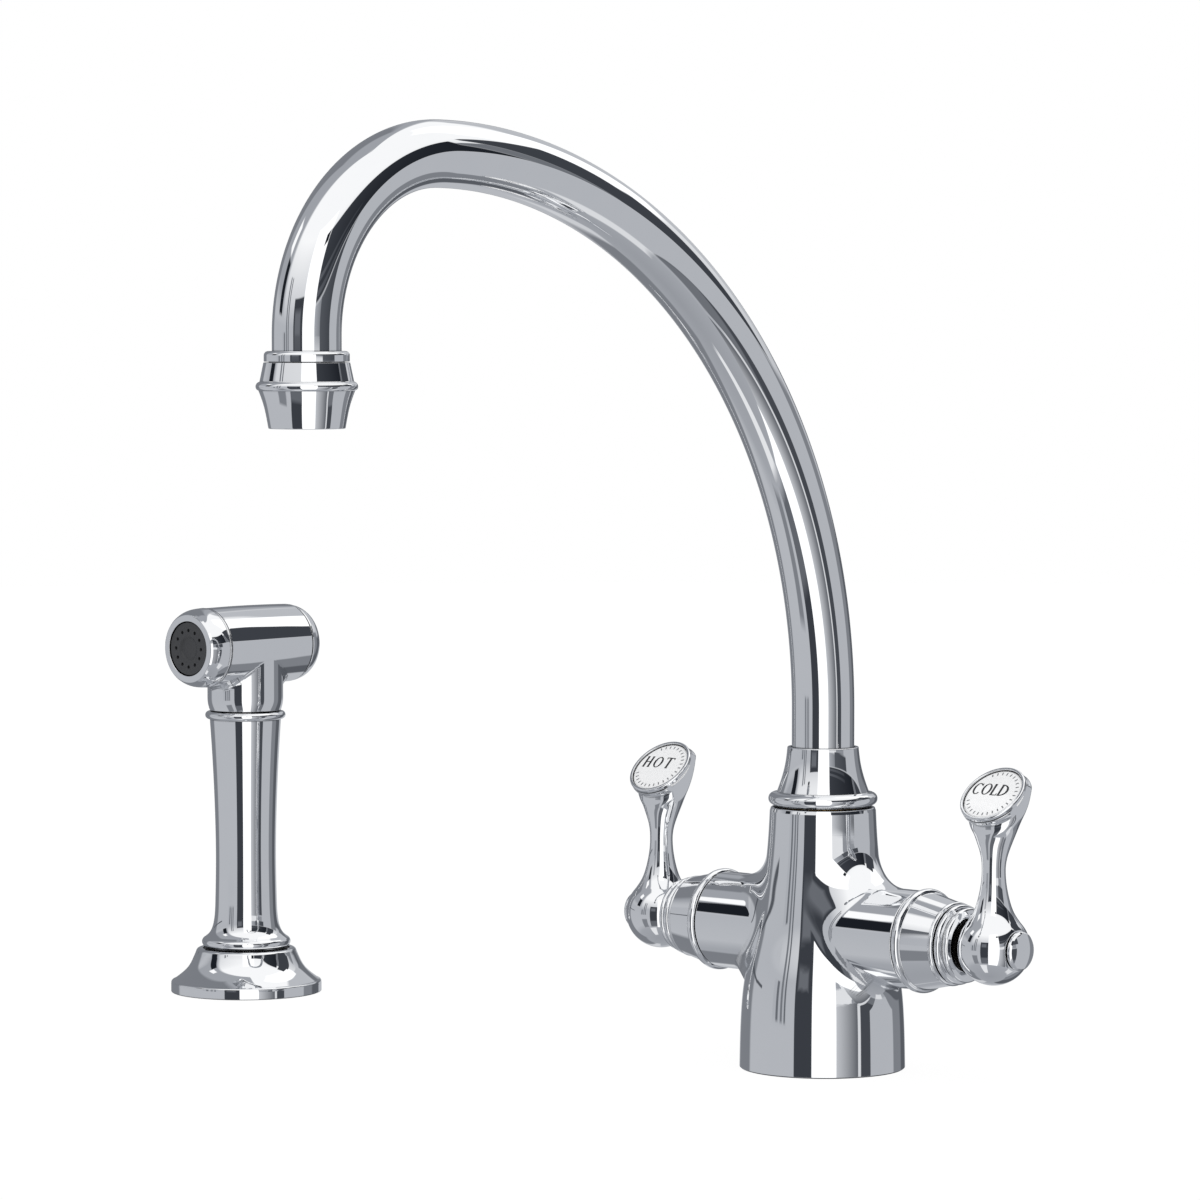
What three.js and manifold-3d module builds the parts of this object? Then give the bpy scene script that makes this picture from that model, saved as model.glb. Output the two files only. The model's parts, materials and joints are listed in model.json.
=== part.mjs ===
// Two-lever kitchen mixer with a swivelling gooseneck spout and a separate side spray.
// Millimetres. +Z is up, the worktop's top face is z = 0 and the mixer's own axis is the Z axis.
// The spout and the spray point along -Y. The hot lever is on -X and the cold one on +X.
import * as THREE from 'three';
import { mergeVertices } from 'three/addons/utils/BufferGeometryUtils.js';
import Module from 'manifold-3d';

const wasm = await Module();
wasm.setup();

// ---- Driving dimensions ----------------------------------------------------------------------

const GAP = 0.3; // clearance left between two pieces that lie against each other
const SLIP = 0.4; // radial clearance of a turning or sliding piece
const WORKTOP = 30; // thickness of the worktop that the fixings clamp
const ROUND = 20; // sides of a turned piece that shows
const HIDDEN = 10; // sides of a turned piece inside or under the worktop

const BODY = {
  contour: [[27.5, 0], [27.0, 18], [25.6, 31], [21.9, 46.7], [20.1, 58], [18.2, 75], [17.6, 85.6]],
  height: 86.8,
  lipR: 17.2,
  seatR: 14.6, // bore that the spout turns in
  seatFloor: 62,
  waterwayR: 6,
  shankBoreR: 16.9,
  floor: [12, 16], // web between the fixing bore and the waterway
};
const GROOVE = { inner: 18.5, outer: 23.5, depth: 1.9 }; // for the gasket under the mixer

// Lengths along the valve line are measured outwards from the mixer's axis.
const VALVE = {
  z: 45.8,
  hornR: 16.2,
  hornEnd: 42.6,
  boreR: 11.2,
  boreFloor: 17,
  flare: { from: 14, foot: 22.2, fillet: 8, squash: 0.66, taper: 0.165 },
  shroudEnd: 57.6,
  collarEnd: 63.2,
};
const DISC = { r: 6.6, fixed: [19.6, 22.6], moving: [22.9, 25.4], portR: 1.5, portAt: 3.6 };

const LEVER = {
  at: 72.5, // ball centre along the valve line
  ballR: 12,
  innerFace: 64.4,
  outerFace: 82.6,
  waistR: 3.85,
  waistUp: 25.2,
  neckTopUp: 47.6,
  neckTopR: 11.2,
  headUp: 48.4,
  headY: 0.7,
  neckShift: 2.7, // how far the neck's top ring sits behind the lever's own line
  headR: 11.6,
  headTilt: 43, // degrees that the head leans its face forward from level
  plateR: 10.05,
};

const SPOUT = {
  tubeR: 10.35,
  boreR: 8.8,
  foot: 86,
  straightTop: 118.5,
  bigBend: 180,
  smallBend: 55,
  tip: 231,
};
const REACH = SPOUT.bigBend + SPOUT.smallBend;

const TAIL = { r: 4, circle: 10, bore: 2.6, end: -78 };
const SHANK = { r: 16.5, bore: 14.6, end: -WORKTOP - 20 };

const SPRAY = { x: -280.2, barrelZ: 127.8, barrelR: 14.6, sleeveR: 9.6, bore: 7 };

// ---- Finishes --------------------------------------------------------------------------------

const finish = (color, roughness, metalness) =>
  new THREE.MeshStandardMaterial({ color, roughness, metalness });
const CHROME = finish(0xd4d7dc, 0.05, 1);
const BRASS = finish(0xb9934a, 0.35, 1);
const STEEL = finish(0xa9abad, 0.35, 1);
const CERAMIC = finish(0xe9e6dc, 0.3, 0);
const PORCELAIN = finish(0xf4f4f2, 0.12, 0);
const RUBBER = finish(0x1d1d1e, 0.85, 0);
const NYLON = finish(0xd9d8d2, 0.5, 0);
const GREY_PLASTIC = finish(0x3a3b3e, 0.45, 0);

// ---- Outlines in (radius, height) ------------------------------------------------------------

/** Points of a circular arc about (r, z), from one angle to another in degrees. */
function arc(r, z, radius, from, to, steps = 3) {
  return Array.from({ length: steps + 1 }, (_, i) => {
    const a = THREE.MathUtils.degToRad(from + ((to - from) * i) / steps);
    return [r + radius * Math.cos(a), z + radius * Math.sin(a)];
  });
}

/** Points of a smooth curve through the given ones. */
function smooth(points, steps) {
  const curve = new THREE.SplineCurve(points.map(([r, z]) => new THREE.Vector2(r, z)));
  return curve.getPoints(steps).map((p) => [p.x, p.y]);
}

/** A polygon with its corners on a circle. */
const circle = (radius, sides) =>
  new THREE.Shape(Array.from({ length: sides }, (_, i) => {
    const a = (2 * Math.PI * i) / sides;
    return new THREE.Vector2(radius * Math.cos(a), radius * Math.sin(a));
  }));

/** Outline of a plain tube or washer. */
const ring = (inner, outer, low, high) => [[inner, low], [outer, low], [outer, high], [inner, high]];

// ---- Solids ----------------------------------------------------------------------------------

/** Turns an outline, listed anticlockwise, about +Z. Off the axis the outline closes on itself. */
function turned(outline, sides = ROUND) {
  const points = outline.map(([r, z]) => new THREE.Vector2(r, z));
  if (outline[0][0] > 0) points.push(points[0].clone());
  return new THREE.LatheGeometry(points, sides).rotateX(Math.PI / 2);
}

const washer = (inner, outer, low, high, sides) => turned(ring(inner, outer, low, high), sides);

/** A round rod about +Z, used as a pin or as a drill. */
const rod = (r, low, high, sides = 8) =>
  new THREE.CylinderGeometry(r, r, high - low, sides)
    .rotateX(Math.PI / 2)
    .translate(0, 0, (low + high) / 2);

function toSolid(geometry) {
  const plain = geometry.clone();
  plain.deleteAttribute('normal');
  plain.deleteAttribute('uv');
  const merged = mergeVertices(plain, 1e-4);
  return new wasm.Manifold(
    new wasm.Mesh({
      numProp: 3,
      vertProperties: merged.attributes.position.array,
      triVerts: new Uint32Array(merged.index.array),
    }),
  );
}

function toGeometry(solid) {
  const mesh = solid.getMesh();
  const geometry = new THREE.BufferGeometry();
  geometry.setAttribute('position', new THREE.BufferAttribute(mesh.vertProperties, 3));
  geometry.setIndex(new THREE.BufferAttribute(mesh.triVerts, 1));
  geometry.computeVertexNormals();
  return geometry;
}

const join = (...pieces) => toGeometry(pieces.map(toSolid).reduce((a, b) => a.add(b)));
const cut = (piece, ...tools) =>
  toGeometry(tools.map(toSolid).reduce((a, b) => a.subtract(b), toSolid(piece)));

/** Lays a piece made about +Z along the valve line: side is +1 for cold and -1 for hot. */
const alongValve = (geometry, side) =>
  geometry.rotateY((side * Math.PI) / 2).translate(0, 0, VALVE.z);

/** Lays a piece made about +Z along the spray's barrel, its top towards the nozzle. */
const alongBarrel = (geometry) =>
  geometry.rotateX(Math.PI / 2).translate(SPRAY.x, 0, SPRAY.barrelZ);

const atSpray = (geometry) => geometry.translate(SPRAY.x, 0, 0);
const atOutlet = (geometry) => geometry.translate(0, -REACH, 0);

const faucet = new THREE.Group();

function add(name, geometry, material) {
  const mesh = new THREE.Mesh(geometry, material);
  mesh.name = name;
  faucet.add(mesh);
}

// ---- Body ------------------------------------------------------------------------------------

function bodyColumn() {
  return turned([[0, 0], ...smooth(BODY.contour, 8), [BODY.lipR, BODY.height], [0, BODY.height]], 24);
}

/** Fixing bore and gasket groove in the underside. */
function undersideCuts() {
  const { inner, outer, depth } = GROOVE;
  return [rod(BODY.shankBoreR, -1, BODY.floor[0], 16), washer(inner, outer, -1, depth, 16)];
}

/** The waterway, the narrow seat above the diverter and the bore that the spout turns in. */
function waterway() {
  const { waterwayR, seatR, seatFloor, height, floor } = BODY;
  return turned([
    [0, floor[1]], [waterwayR, floor[1]], [waterwayR, 54], [4.4, 54.2], [4.4, 58],
    [9, seatFloor - 1], [seatR, seatFloor], [seatR, height - 1.2], [16.4, height - 1.2],
    [16.4, height + 1], [0, height + 1],
  ], 16);
}

/** One horn, with a fillet at its root whose foot follows the column's taper. */
function hornPieces(side) {
  const { from, foot, fillet, squash, taper } = VALVE.flare;
  const straight = alongValve(rod(VALVE.hornR, 8, VALVE.hornEnd, ROUND), side);
  const root = arc(VALVE.hornR + fillet, foot + fillet, fillet, 270, 180);
  const flare = turned([[0, from], [root[0][0], from], ...root, [0, foot + fillet]]);
  const lean = new THREE.Matrix4().set(1, 0, 0, 0, 0, squash, 0, 0, side * taper, 0, 1, 0, 0, 0, 0, 1);
  return [straight, alongValve(flare.applyMatrix4(lean), side)];
}

function valveDrillings(side) {
  const port = rod(TAIL.bore, BODY.floor[0] - 1, VALVE.z);
  return [
    alongValve(rod(VALVE.boreR, VALVE.boreFloor, VALVE.hornEnd + 1, ROUND), side),
    alongValve(rod(3, 8.2, VALVE.boreFloor + 1), side),
    port.translate(side * 0.96 * TAIL.circle, 0.28 * TAIL.circle, 0),
  ];
}

function bodyCasting() {
  const transfer = rod(2.4, -24, 24).rotateY(Math.PI / 2).translate(0, -3.5, VALVE.z - 8.8);
  const sprayDown = rod(TAIL.bore, BODY.floor[0] - 1, 24).translate(0, -TAIL.circle, 0);
  const sprayAcross = rod(2.4, 3, TAIL.circle).rotateX(Math.PI / 2).translate(0, 0, 22);
  const screwHole = rod(2.8, 13, 20, 10).rotateX(-Math.PI / 2).translate(0, 0, 81);
  const whole = join(bodyColumn(), ...hornPieces(1), ...hornPieces(-1));
  return cut(
    whole, ...undersideCuts(), waterway(), ...valveDrillings(1), ...valveDrillings(-1),
    transfer, sprayDown, sprayAcross, screwHole,
  );
}

function diverterPiston() {
  return turned([[0, 22.5], [4, 22.5], [5.4, 24], [5.4, 27], [1.8, 28.5], [1.8, 46.5], [5.4, 47],
    [5.4, 49.2], [3.6, 50.4], [0, 50.4]], HIDDEN);
}

function makeBody() {
  add('body_casting', bodyCasting(), CHROME);
  add('base_gasket', washer(GROOVE.inner + SLIP, GROOVE.outer - SLIP, 0, 1.6, 16), RUBBER);
  add('diverter_piston', diverterPiston(), BRASS);
  const screw = cut(rod(2.4, 13.3, 17.4, 10), rod(1.2, 15.6, 18, 6));
  add('spout_grub_screw', screw.rotateX(-Math.PI / 2).translate(0, 0, 81), STEEL);
  add('spout_bearing_ring', washer(BODY.seatR + 0.2, 16, 85.9, 86.9, 16), NYLON);
}

// ---- Fixings under the worktop -----------------------------------------------------------------

/** A hexagonal nut with a round bearing flange on top, from top down by height. */
function flangedNut(bore, flangeR, hexR, top, height) {
  const flange = washer(bore, flangeR, top - 2.5, top, 16);
  const hex = cut(rod(hexR, top - height, top - 1, 6), rod(bore, top - height - 1, top, 16));
  return join(flange, hex);
}

/** A supply tail: a pipe with a hexagon and a coned nipple at its lower end. */
function supplyTail(x, y) {
  const { r, bore, end } = TAIL;
  const pipe = turned([[bore, end], [4.2, end], [4.8, end + 1], [4.8, end + 9], [r, end + 9.6],
    [r, BODY.floor[0] - GAP], [bore, BODY.floor[0] - GAP]], 10);
  const hex = cut(rod(6, end + 9.4, end + 17, 6), rod(r - 0.4, end + 8, end + 18, 10));
  return join(pipe, hex).translate(x, y, 0);
}

function makeFixings() {
  const top = BODY.floor[0] - GAP;
  add('fixing_shank', washer(SHANK.bore, SHANK.r, SHANK.end, top, 16), BRASS);
  add('worktop_rubber_washer', washer(17, 25, -WORKTOP - 3, -WORKTOP, 16), RUBBER);
  add('worktop_steel_washer', washer(17, 25, -WORKTOP - 5.3, -WORKTOP - 3.3, 16), STEEL);
  add('fixing_nut', flangedNut(16.9, 22.5, 23, -WORKTOP - 5.6, 10), BRASS);
  const [across, back] = [0.96 * TAIL.circle, 0.28 * TAIL.circle];
  add('hot_supply_tail', supplyTail(-across, back), BRASS);
  add('cold_supply_tail', supplyTail(across, back), BRASS);
  add('spray_supply_tail', supplyTail(0, -TAIL.circle), BRASS);
}

// ---- Valves and levers -------------------------------------------------------------------------

/** Bell-shaped cover over the valve: a bead, then a cone that narrows outwards. */
function valveShroud() {
  const start = VALVE.hornEnd + GAP;
  return turned([
    [14, start], ...arc(15.6, start + 1.6, 1.5, -80, 80, 4), [15.7, start + 3.4], [13.7, 56.2],
    ...arc(12.9, VALVE.shroudEnd - 0.9, 0.9, 0, 90, 2), [9, VALVE.shroudEnd], [9, 55.4],
    [11, 54.6], [14, 48.6],
  ]);
}

/** Stepped gland collar: two rounded rings, the outer one smaller. */
function glandCollar() {
  const start = VALVE.shroudEnd + GAP;
  return turned([
    [8.9, start], ...arc(12.0, start + 1.1, 1.1, -80, 80), [11.2, start + 2.7],
    ...arc(11.2, start + 4.0, 1.0, -70, 70), [10.4, VALVE.collarEnd], [8.9, VALVE.collarEnd],
  ]);
}

/** Cartridge housing: windowed nose, threaded land, hexagon and a neck up to the lever. */
function cartridgeHousing() {
  const sleeve = turned([[6.9, 19.4], [8.6, 19.4], [8.6, 33], [10.9, 34], [10.9, VALVE.hornEnd],
    [8.4, VALVE.hornEnd + 0.2], [8.4, 61.5], [4.4, 61.5], [4.4, 32], [6.9, 31.6]], HIDDEN);
  const hex = cut(rod(13, VALVE.hornEnd + GAP, 47, 6), rod(6, 40, 50, HIDDEN));
  const windows = new THREE.BoxGeometry(24, 5, 4.5).translate(0, 0, 28.6);
  return cut(join(sleeve, hex), windows);
}

/** A valve disc with its two ports on the line at the given angle in degrees. */
function valveDisc([low, high], angle) {
  const a = THREE.MathUtils.degToRad(angle);
  const ports = [1, -1].map((way) =>
    rod(DISC.portR, low - 1, high + 1, 6).translate(
      way * DISC.portAt * Math.cos(a), way * DISC.portAt * Math.sin(a), 0));
  return cut(rod(DISC.r - 0.2, low, high, HIDDEN), ...ports);
}

function valveSpindle() {
  return turned([[0, 25.7], [5.6, 25.7], [5.6, 27.6], [3.9, 28.2], [3.9, 62], [3.6, 62.4],
    [3.6, 75.7], [2.4, 75.7], [2.4, 64], [0, 63]], 12);
}

/** Leans the rings of the lever's neck forward, more and more from the waist to the head. */
function leanNeck(geometry) {
  const position = geometry.attributes.position;
  const tilt = THREE.MathUtils.degToRad(LEVER.headTilt);
  for (let i = 0; i < position.count; i++) {
    const [y, z] = [position.getY(i), position.getZ(i)];
    const share = THREE.MathUtils.smoothstep(z, LEVER.waistUp, LEVER.neckTopUp);
    position.setY(i, y * Math.cos(tilt * share) + LEVER.neckShift * share);
    position.setZ(i, z + y * Math.sin(tilt * share));
  }
  return geometry;
}

/** Ball and neck in one turned outline about the lever's own upright line. */
function leverStem() {
  const meet = 43; // angle on the ball where the neck's flare leaves it
  const [r, up] = arc(0, 0, LEVER.ballR, meet, meet, 1)[0];
  const neck = smooth([
    [r, up], [6.6, 11.6], [5.35, 15], [4.4, 19.2], [LEVER.waistR, LEVER.waistUp], [4.15, 28.8],
    [5.1, 32.2], [6.6, 36], [8.5, 40.2], [10.3, 44.4], [LEVER.neckTopR, LEVER.neckTopUp],
  ], 11);
  return leanNeck(turned([...arc(0, 0, LEVER.ballR, -90, meet - 18, 5), ...neck,
    [0, LEVER.neckTopUp]], 18));
}

/** Places a piece made about +Z on the lever's head, its top towards the reader. */
const onHead = (geometry) =>
  geometry.rotateX(THREE.MathUtils.degToRad(LEVER.headTilt)).translate(0, LEVER.headY, LEVER.headUp);

function leverHead() {
  const rim = [...arc(LEVER.headR - 0.8, -1.9, 0.8, -90, 0, 2), [LEVER.headR, 0.9]];
  return onHead(turned([[0, -2.7], ...rim, [10.5, 0.9], [10.5, -0.8], [0, -0.8]]));
}

function leverHandle(side) {
  const bore = (r, low, high) =>
    rod(r, low - LEVER.at, high - LEVER.at, HIDDEN).rotateY((side * Math.PI) / 2);
  const lever = cut(
    join(leverStem(), leverHead()),
    bore(14, LEVER.innerFace - 10, LEVER.innerFace), bore(14, LEVER.outerFace, LEVER.outerFace + 10),
    bore(4, LEVER.innerFace - 1, 76), bore(2.2, 75, 79), bore(4.7, 78, LEVER.outerFace + 1),
  );
  return lever.translate(side * LEVER.at, 0, VALVE.z);
}

const atLever = (geometry, side) => geometry.translate(side * LEVER.at, 0, VALVE.z);

function indexBezel() {
  const r = LEVER.headR - 0.1;
  return onHead(turned([[LEVER.plateR + 0.3, 1.2], [r, 1.2], ...arc(r - 0.7, 1.9, 0.7, 0, 90, 2),
    [LEVER.plateR + 0.3, 2.5]]));
}

function indexPlate() {
  const r = LEVER.plateR;
  return onHead(turned([[0, -0.5], [r, -0.5], [r, 1.7], [r - 0.4, 2.1], [0, 2.3]]));
}

function handleScrew() {
  const screw = turned([[0, 66], [1.9, 66], [1.9, 78.3], [4.2, 78.3], [4.2, 80.1], [0, 80.1]], 12);
  return cut(screw, rod(1.6, 79, 81, 6));
}

function endCap() {
  const start = LEVER.outerFace + GAP;
  return turned([[0, 80.4], [4.3, 80.4], [4.3, start], [6.4, start], [6.1, 84.7],
    ...arc(4.9, 84.7, 1.1, 0, 90, 2), [0, 86]], 18);
}

function makeValve(side, prefix) {
  const lathe = (geometry) => alongValve(geometry, side);
  add(`${prefix}_valve_shroud`, lathe(valveShroud()), CHROME);
  add(`${prefix}_gland_collar`, lathe(glandCollar()), CHROME);
  add(`${prefix}_cartridge_housing`, lathe(cartridgeHousing()), BRASS);
  add(`${prefix}_cartridge_seal`, lathe(washer(3.4, 6.5, 17.3, 19.3, HIDDEN)), RUBBER);
  add(`${prefix}_fixed_disc`, lathe(valveDisc(DISC.fixed, 0)), CERAMIC);
  add(`${prefix}_moving_disc`, lathe(valveDisc(DISC.moving, 90)), CERAMIC);
  add(`${prefix}_spindle`, lathe(valveSpindle()), BRASS);
  add(`${prefix}_lever_handle`, leverHandle(side), CHROME);
  add(`${prefix}_index_bezel`, atLever(indexBezel(), side), CHROME);
  add(`${prefix}_index_plate`, atLever(indexPlate(), side), PORCELAIN);
  add(`${prefix}_handle_screw`, lathe(handleScrew()), STEEL);
  add(`${prefix}_end_cap`, lathe(endCap()), CHROME);
}

// ---- Spout -------------------------------------------------------------------------------------

/** Centre line of the spout: up, over in two quarter bends, and down to its tip. */
class SpoutLine extends THREE.Curve {
  constructor() {
    super();
    const { foot, straightTop, bigBend, smallBend, tip } = SPOUT;
    const crown = straightTop + bigBend - smallBend;
    this.runs = [straightTop - foot, (bigBend * Math.PI) / 2, (smallBend * Math.PI) / 2, crown - tip];
    this.total = this.runs.reduce((a, b) => a + b);
    this.crown = crown;
  }

  getPoint(t, target = new THREE.Vector3()) {
    const { foot, straightTop, bigBend, smallBend } = SPOUT;
    const [rise, big, small] = this.runs;
    const s = t * this.total;
    if (s <= rise) return target.set(0, 0, foot + s);
    if (s <= rise + big) {
      const a = (s - rise) / bigBend;
      return target.set(0, bigBend * (Math.cos(a) - 1), straightTop + bigBend * Math.sin(a));
    }
    if (s <= rise + big + small) {
      const a = (s - rise - big) / smallBend;
      return target.set(0, -bigBend - smallBend * Math.sin(a), this.crown + smallBend * Math.cos(a));
    }
    return target.set(0, -REACH, this.crown - (s - rise - big - small));
  }
}

function spoutTube() {
  const section = circle(SPOUT.tubeR, 16);
  section.holes.push(circle(SPOUT.boreR, 8));
  return new THREE.ExtrudeGeometry(section, { extrudePath: new SpoutLine(), steps: 34 });
}

/** Coned ferrule with its bead, brazed to the tube's foot. */
function spoutFerrule() {
  return turned([
    [SPOUT.tubeR + GAP, 93.4], [14.4, 93.4 - 2], [14.4, 87.2], [16.4, 87.2],
    ...arc(16, 89.7, 2.1, -70, 70, 4),
    ...smooth([[15.1, 92.4], [13.5, 97], [12.2, 102], [11.75, 106.2]], 4),
    [11.5, 106.8], [SPOUT.tubeR + GAP, 106.8],
  ]);
}

/** Brass spigot that turns in the body, with two seal grooves and a locking groove. */
function spoutSpigot() {
  const r = BODY.seatR - SLIP;
  return turned([
    [9, 64.5], [r, 64.5], [r, 68], [12.6, 68], [12.6, 70.2], [r, 70.2], [r, 73.8], [12.6, 73.8],
    [12.6, 76], [r, 76], [r, 78.4], [12.6, 78.4], [12.6, 83.6], [r, 83.6], [r, 87.4],
    [13.9, 87.8], [13.9, 91], [10.8, 91], [10.8, 85.6], [9, 85.6],
  ], 16);
}

const sealRing = (z) =>
  turned([[12.9, z - 0.8], [13.9, z - 0.8], [14.3, z], [13.9, z + 0.8], [12.9, z + 0.8]], 16);

function aeratorCollar() {
  return turned([
    [SPOUT.tubeR + GAP, 230.6], [11.3, 230.6], [11.3, 235.9], [12.7, 235.9],
    ...arc(11.3, 237.7, 1.3, 0, 90, 2), [SPOUT.tubeR + GAP, 239],
  ]);
}

function aeratorHousing() {
  return turned([
    [9, 216], [11.4, 216], ...smooth([[11.8, 216.6], [12.6, 221], [14.2, 226.8]], 3),
    ...arc(13.7, 228.6, 1.5, -50, 70, 3), [13, 235.6], [11.7, 235.6],
    [11.7, 229.6], [10, 229.2], [10, 218], [9, 217.6],
  ]);
}

/** Stream former: a cup whose floor has a ring of small holes. */
function aeratorInsert() {
  const cup = turned([[0, 218.4], [9.6, 218.4], [9.6, 226.4], [8.6, 226.4], [8.6, 219.8],
    [0, 219.8]], 18);
  const holes = Array.from({ length: 10 }, (_, i) => {
    const a = (2 * Math.PI * i) / 10;
    return rod(0.9, 217, 221, 5).translate(6 * Math.cos(a), 6 * Math.sin(a), 0);
  });
  return cut(cup, ...holes);
}

function makeSpout() {
  add('spout_tube', spoutTube(), CHROME);
  add('spout_ferrule', spoutFerrule(), CHROME);
  add('spout_spigot', spoutSpigot(), BRASS);
  add('spout_lower_seal', sealRing(69.1), RUBBER);
  add('spout_upper_seal', sealRing(74.9), RUBBER);
  add('aerator_collar', atOutlet(aeratorCollar()), CHROME);
  add('aerator_housing', atOutlet(aeratorHousing()), CHROME);
  add('aerator_washer', atOutlet(washer(7, 9.6, 226.8, 228.6, 18)), RUBBER);
  add('aerator_insert', atOutlet(aeratorInsert()), GREY_PLASTIC);
}

// ---- Side spray --------------------------------------------------------------------------------

/** Ogee flange that stands on the worktop and carries the spray. */
function sprayFlange() {
  return turned([
    [15.9, 0], [19, 0], [19, 1.9], [24, 1.9], [24, 0], [27.7, 0], [27.7, 3.2],
    [27.2, 4.2], ...smooth([[26.4, 4.8], [23.8, 6.5], [21.3, 9], [19.6, 12], [18.5, 14.6]], 4),
    ...arc(17.1, 14.8, 1.3, 10, 90, 2), [16, 16.1], [16, 14.1], [13.6, 14.1], [13.6, 8], [15.9, 8],
  ]);
}

function guideBush() {
  return turned([[10, -12], [13.2, -12], [13.2, 14.4], [15.6, 14.4], [15.6, 15.9], [10, 15.9]], 16);
}

/** Hollow grip, waisted between its two beads, with the sleeve that stands in the flange. */
function sprayHandle() {
  const { bore, sleeveR } = SPRAY;
  return turned([
    [bore, 1.8], [sleeveR, 1.8], [sleeveR, 16.4], [14.4, 16.5], ...arc(14.4, 18.4, 1.9, -80, 80),
    ...smooth([[14.1, 20.9], [12.7, 23], [11.7, 26.5], [11.2, 36], [11.0, 52], [11.4, 70],
      [12.2, 86], [13.0, 98.5]], 8),
    [13.2, 100.7], ...arc(13.3, 102.3, 1.4, -60, 60, 2), [12.8, 103.8], [10.6, 103.8],
    [10.6, 92], [bore, 92],
  ]);
}

/** Barrel with a neck below it and two webs inside, bored for the water and the valve. */
function sprayHead() {
  const { barrelR, barrelZ, x } = SPRAY;
  const barrel = alongBarrel(turned([[0, -20.9], [14.2, -20.9], ...smooth(
    [[14.3, -20.6], [barrelR, -8], [barrelR, 8], [14.4, 19.1]], 3), [14.2, 19.3], [0, 19.3]]));
  const neck = turned([[0, 94], [10.2, 94], [10.2, 104.1], [12.9, 104.1], [13.5, 105.4],
    [14.3, 107.6], [14.3, barrelZ - 2], [0, barrelZ - 2]]);
  const bores = [[11.2, 9.4, 20], [4, 6, 10], [11.2, -7, 7], [2.5, -12, -6], [10.6, -22, -11]]
    .map(([r, low, high]) => alongBarrel(rod(r, low, high, HIDDEN)));
  return cut(join(barrel, neck.translate(x, 0, 0)), ...bores, atSpray(rod(6.2, 93, barrelZ, HIDDEN)));
}

function nozzleCap() {
  return turned([
    [11.3, 19.6], [14.2, 19.6], ...smooth([[14.35, 20], [14.1, 23.2], [13.4, 26.2], [12.5, 28.2]], 4),
    [12.2, 28.5], [10, 28.5], [10, 24.6], [11.3, 24.6],
  ]);
}

/** Dark nozzle plate: a ring of twelve holes round a shallow dish. */
function nozzlePlate() {
  const plate = turned([[0, 23.2], [11.0, 23.2], [11.0, 24.3], [9.66, 24.5], [9.66, 28.1],
    [4.6, 28.1], [3.6, 27.4], [0, 27.2]]);
  const holes = Array.from({ length: 12 }, (_, i) => {
    const a = (2 * Math.PI * i) / 12;
    return rod(0.65, 22, 29, 5).translate(6.66 * Math.cos(a), 6.66 * Math.sin(a), 0);
  });
  return cut(plate, ...holes);
}

function rearCap() {
  return turned([
    [8.2, -28], [9.2, -28.1], ...smooth([[10, -27.9], [12.4, -25.9], [13.8, -23.4], [14.25, -21.5]], 4),
    [14.1, -21.2], [10.9, -21.2], [10.9, -24.8], [8.2, -24.8],
  ]);
}

function thumbButton() {
  return turned([[0, -29.6], [3, -29.5], [5.6, -29], [7.2, -28.2], [7.8, -27.2], [7.8, -24.5],
    [9.6, -24.5], [9.6, -23.2], [0, -23.2]]);
}

/** Coil between the rear web and the button. */
class SpringLine extends THREE.Curve {
  getPoint(t, target = new THREE.Vector3()) {
    const [turns, radius, low, high] = [5, 5.6, -21.9, -12];
    const a = 2 * Math.PI * turns * t;
    return target.set(radius * Math.cos(a), radius * Math.sin(a), low + (high - low) * t);
  }
}

function valveSpring() {
  return new THREE.ExtrudeGeometry(circle(0.6, 5), { extrudePath: new SpringLine(), steps: 40 });
}

function makeSprayBase() {
  add('spray_flange', atSpray(sprayFlange()), CHROME);
  add('spray_gasket', atSpray(washer(19.4, 23.6, 0, 1.6, 16)), RUBBER);
  add('spray_shank', atSpray(washer(13.6, 15.5, -WORKTOP - 12, 7.7, 16)), BRASS);
  add('spray_nut', atSpray(flangedNut(15.9, 22, 21, -WORKTOP, 9)), BRASS);
  add('spray_guide_bush', atSpray(guideBush()), NYLON);
}

function makeSprayHandset() {
  const connector = turned([[3.5, -18], [6.4, -18], [8.2, -14], [9.2, -4], [9.2, 1.5], [3.5, 1.5]], 16);
  const stem = rod(2, -22.9, 13.6);
  add('spray_hose_connector', atSpray(connector), BRASS);
  add('spray_handle', atSpray(sprayHandle()), CHROME);
  add('spray_head', sprayHead(), CHROME);
  add('spray_nozzle_cap', alongBarrel(nozzleCap()), CHROME);
  add('spray_nozzle_plate', alongBarrel(nozzlePlate()), GREY_PLASTIC);
  add('spray_rear_cap', alongBarrel(rearCap()), CHROME);
  add('spray_valve_spring', alongBarrel(valveSpring()), STEEL);
  add('spray_thumb_button', alongBarrel(thumbButton()), CHROME);
  add('spray_valve_stem', alongBarrel(stem), STEEL);
  add('spray_valve_seal', alongBarrel(washer(2.4, 6.5, 9.7, 12.2, HIDDEN)), RUBBER);
}

makeBody();
makeFixings();
makeValve(-1, 'hot');
makeValve(1, 'cold');
makeSpout();
makeSprayBase();
makeSprayHandset();

export default faucet;
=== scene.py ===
"""Fine surfaces and finishes for a two-lever kitchen mixer with a side spray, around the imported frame.

Every shape is worked out in millimetres, in the frame's own axes: +Z is up, the worktop's top face is z = 0,
the spout points along -Y, the hot lever is on -X and the spray stands further out on -X.
"""
import json
import logging
import math
from collections.abc import Callable, Sequence
from dataclasses import dataclass, replace
from enum import Enum
from functools import partial

import bpy
import numpy as np
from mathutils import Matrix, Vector
from numpy.typing import NDArray


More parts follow.
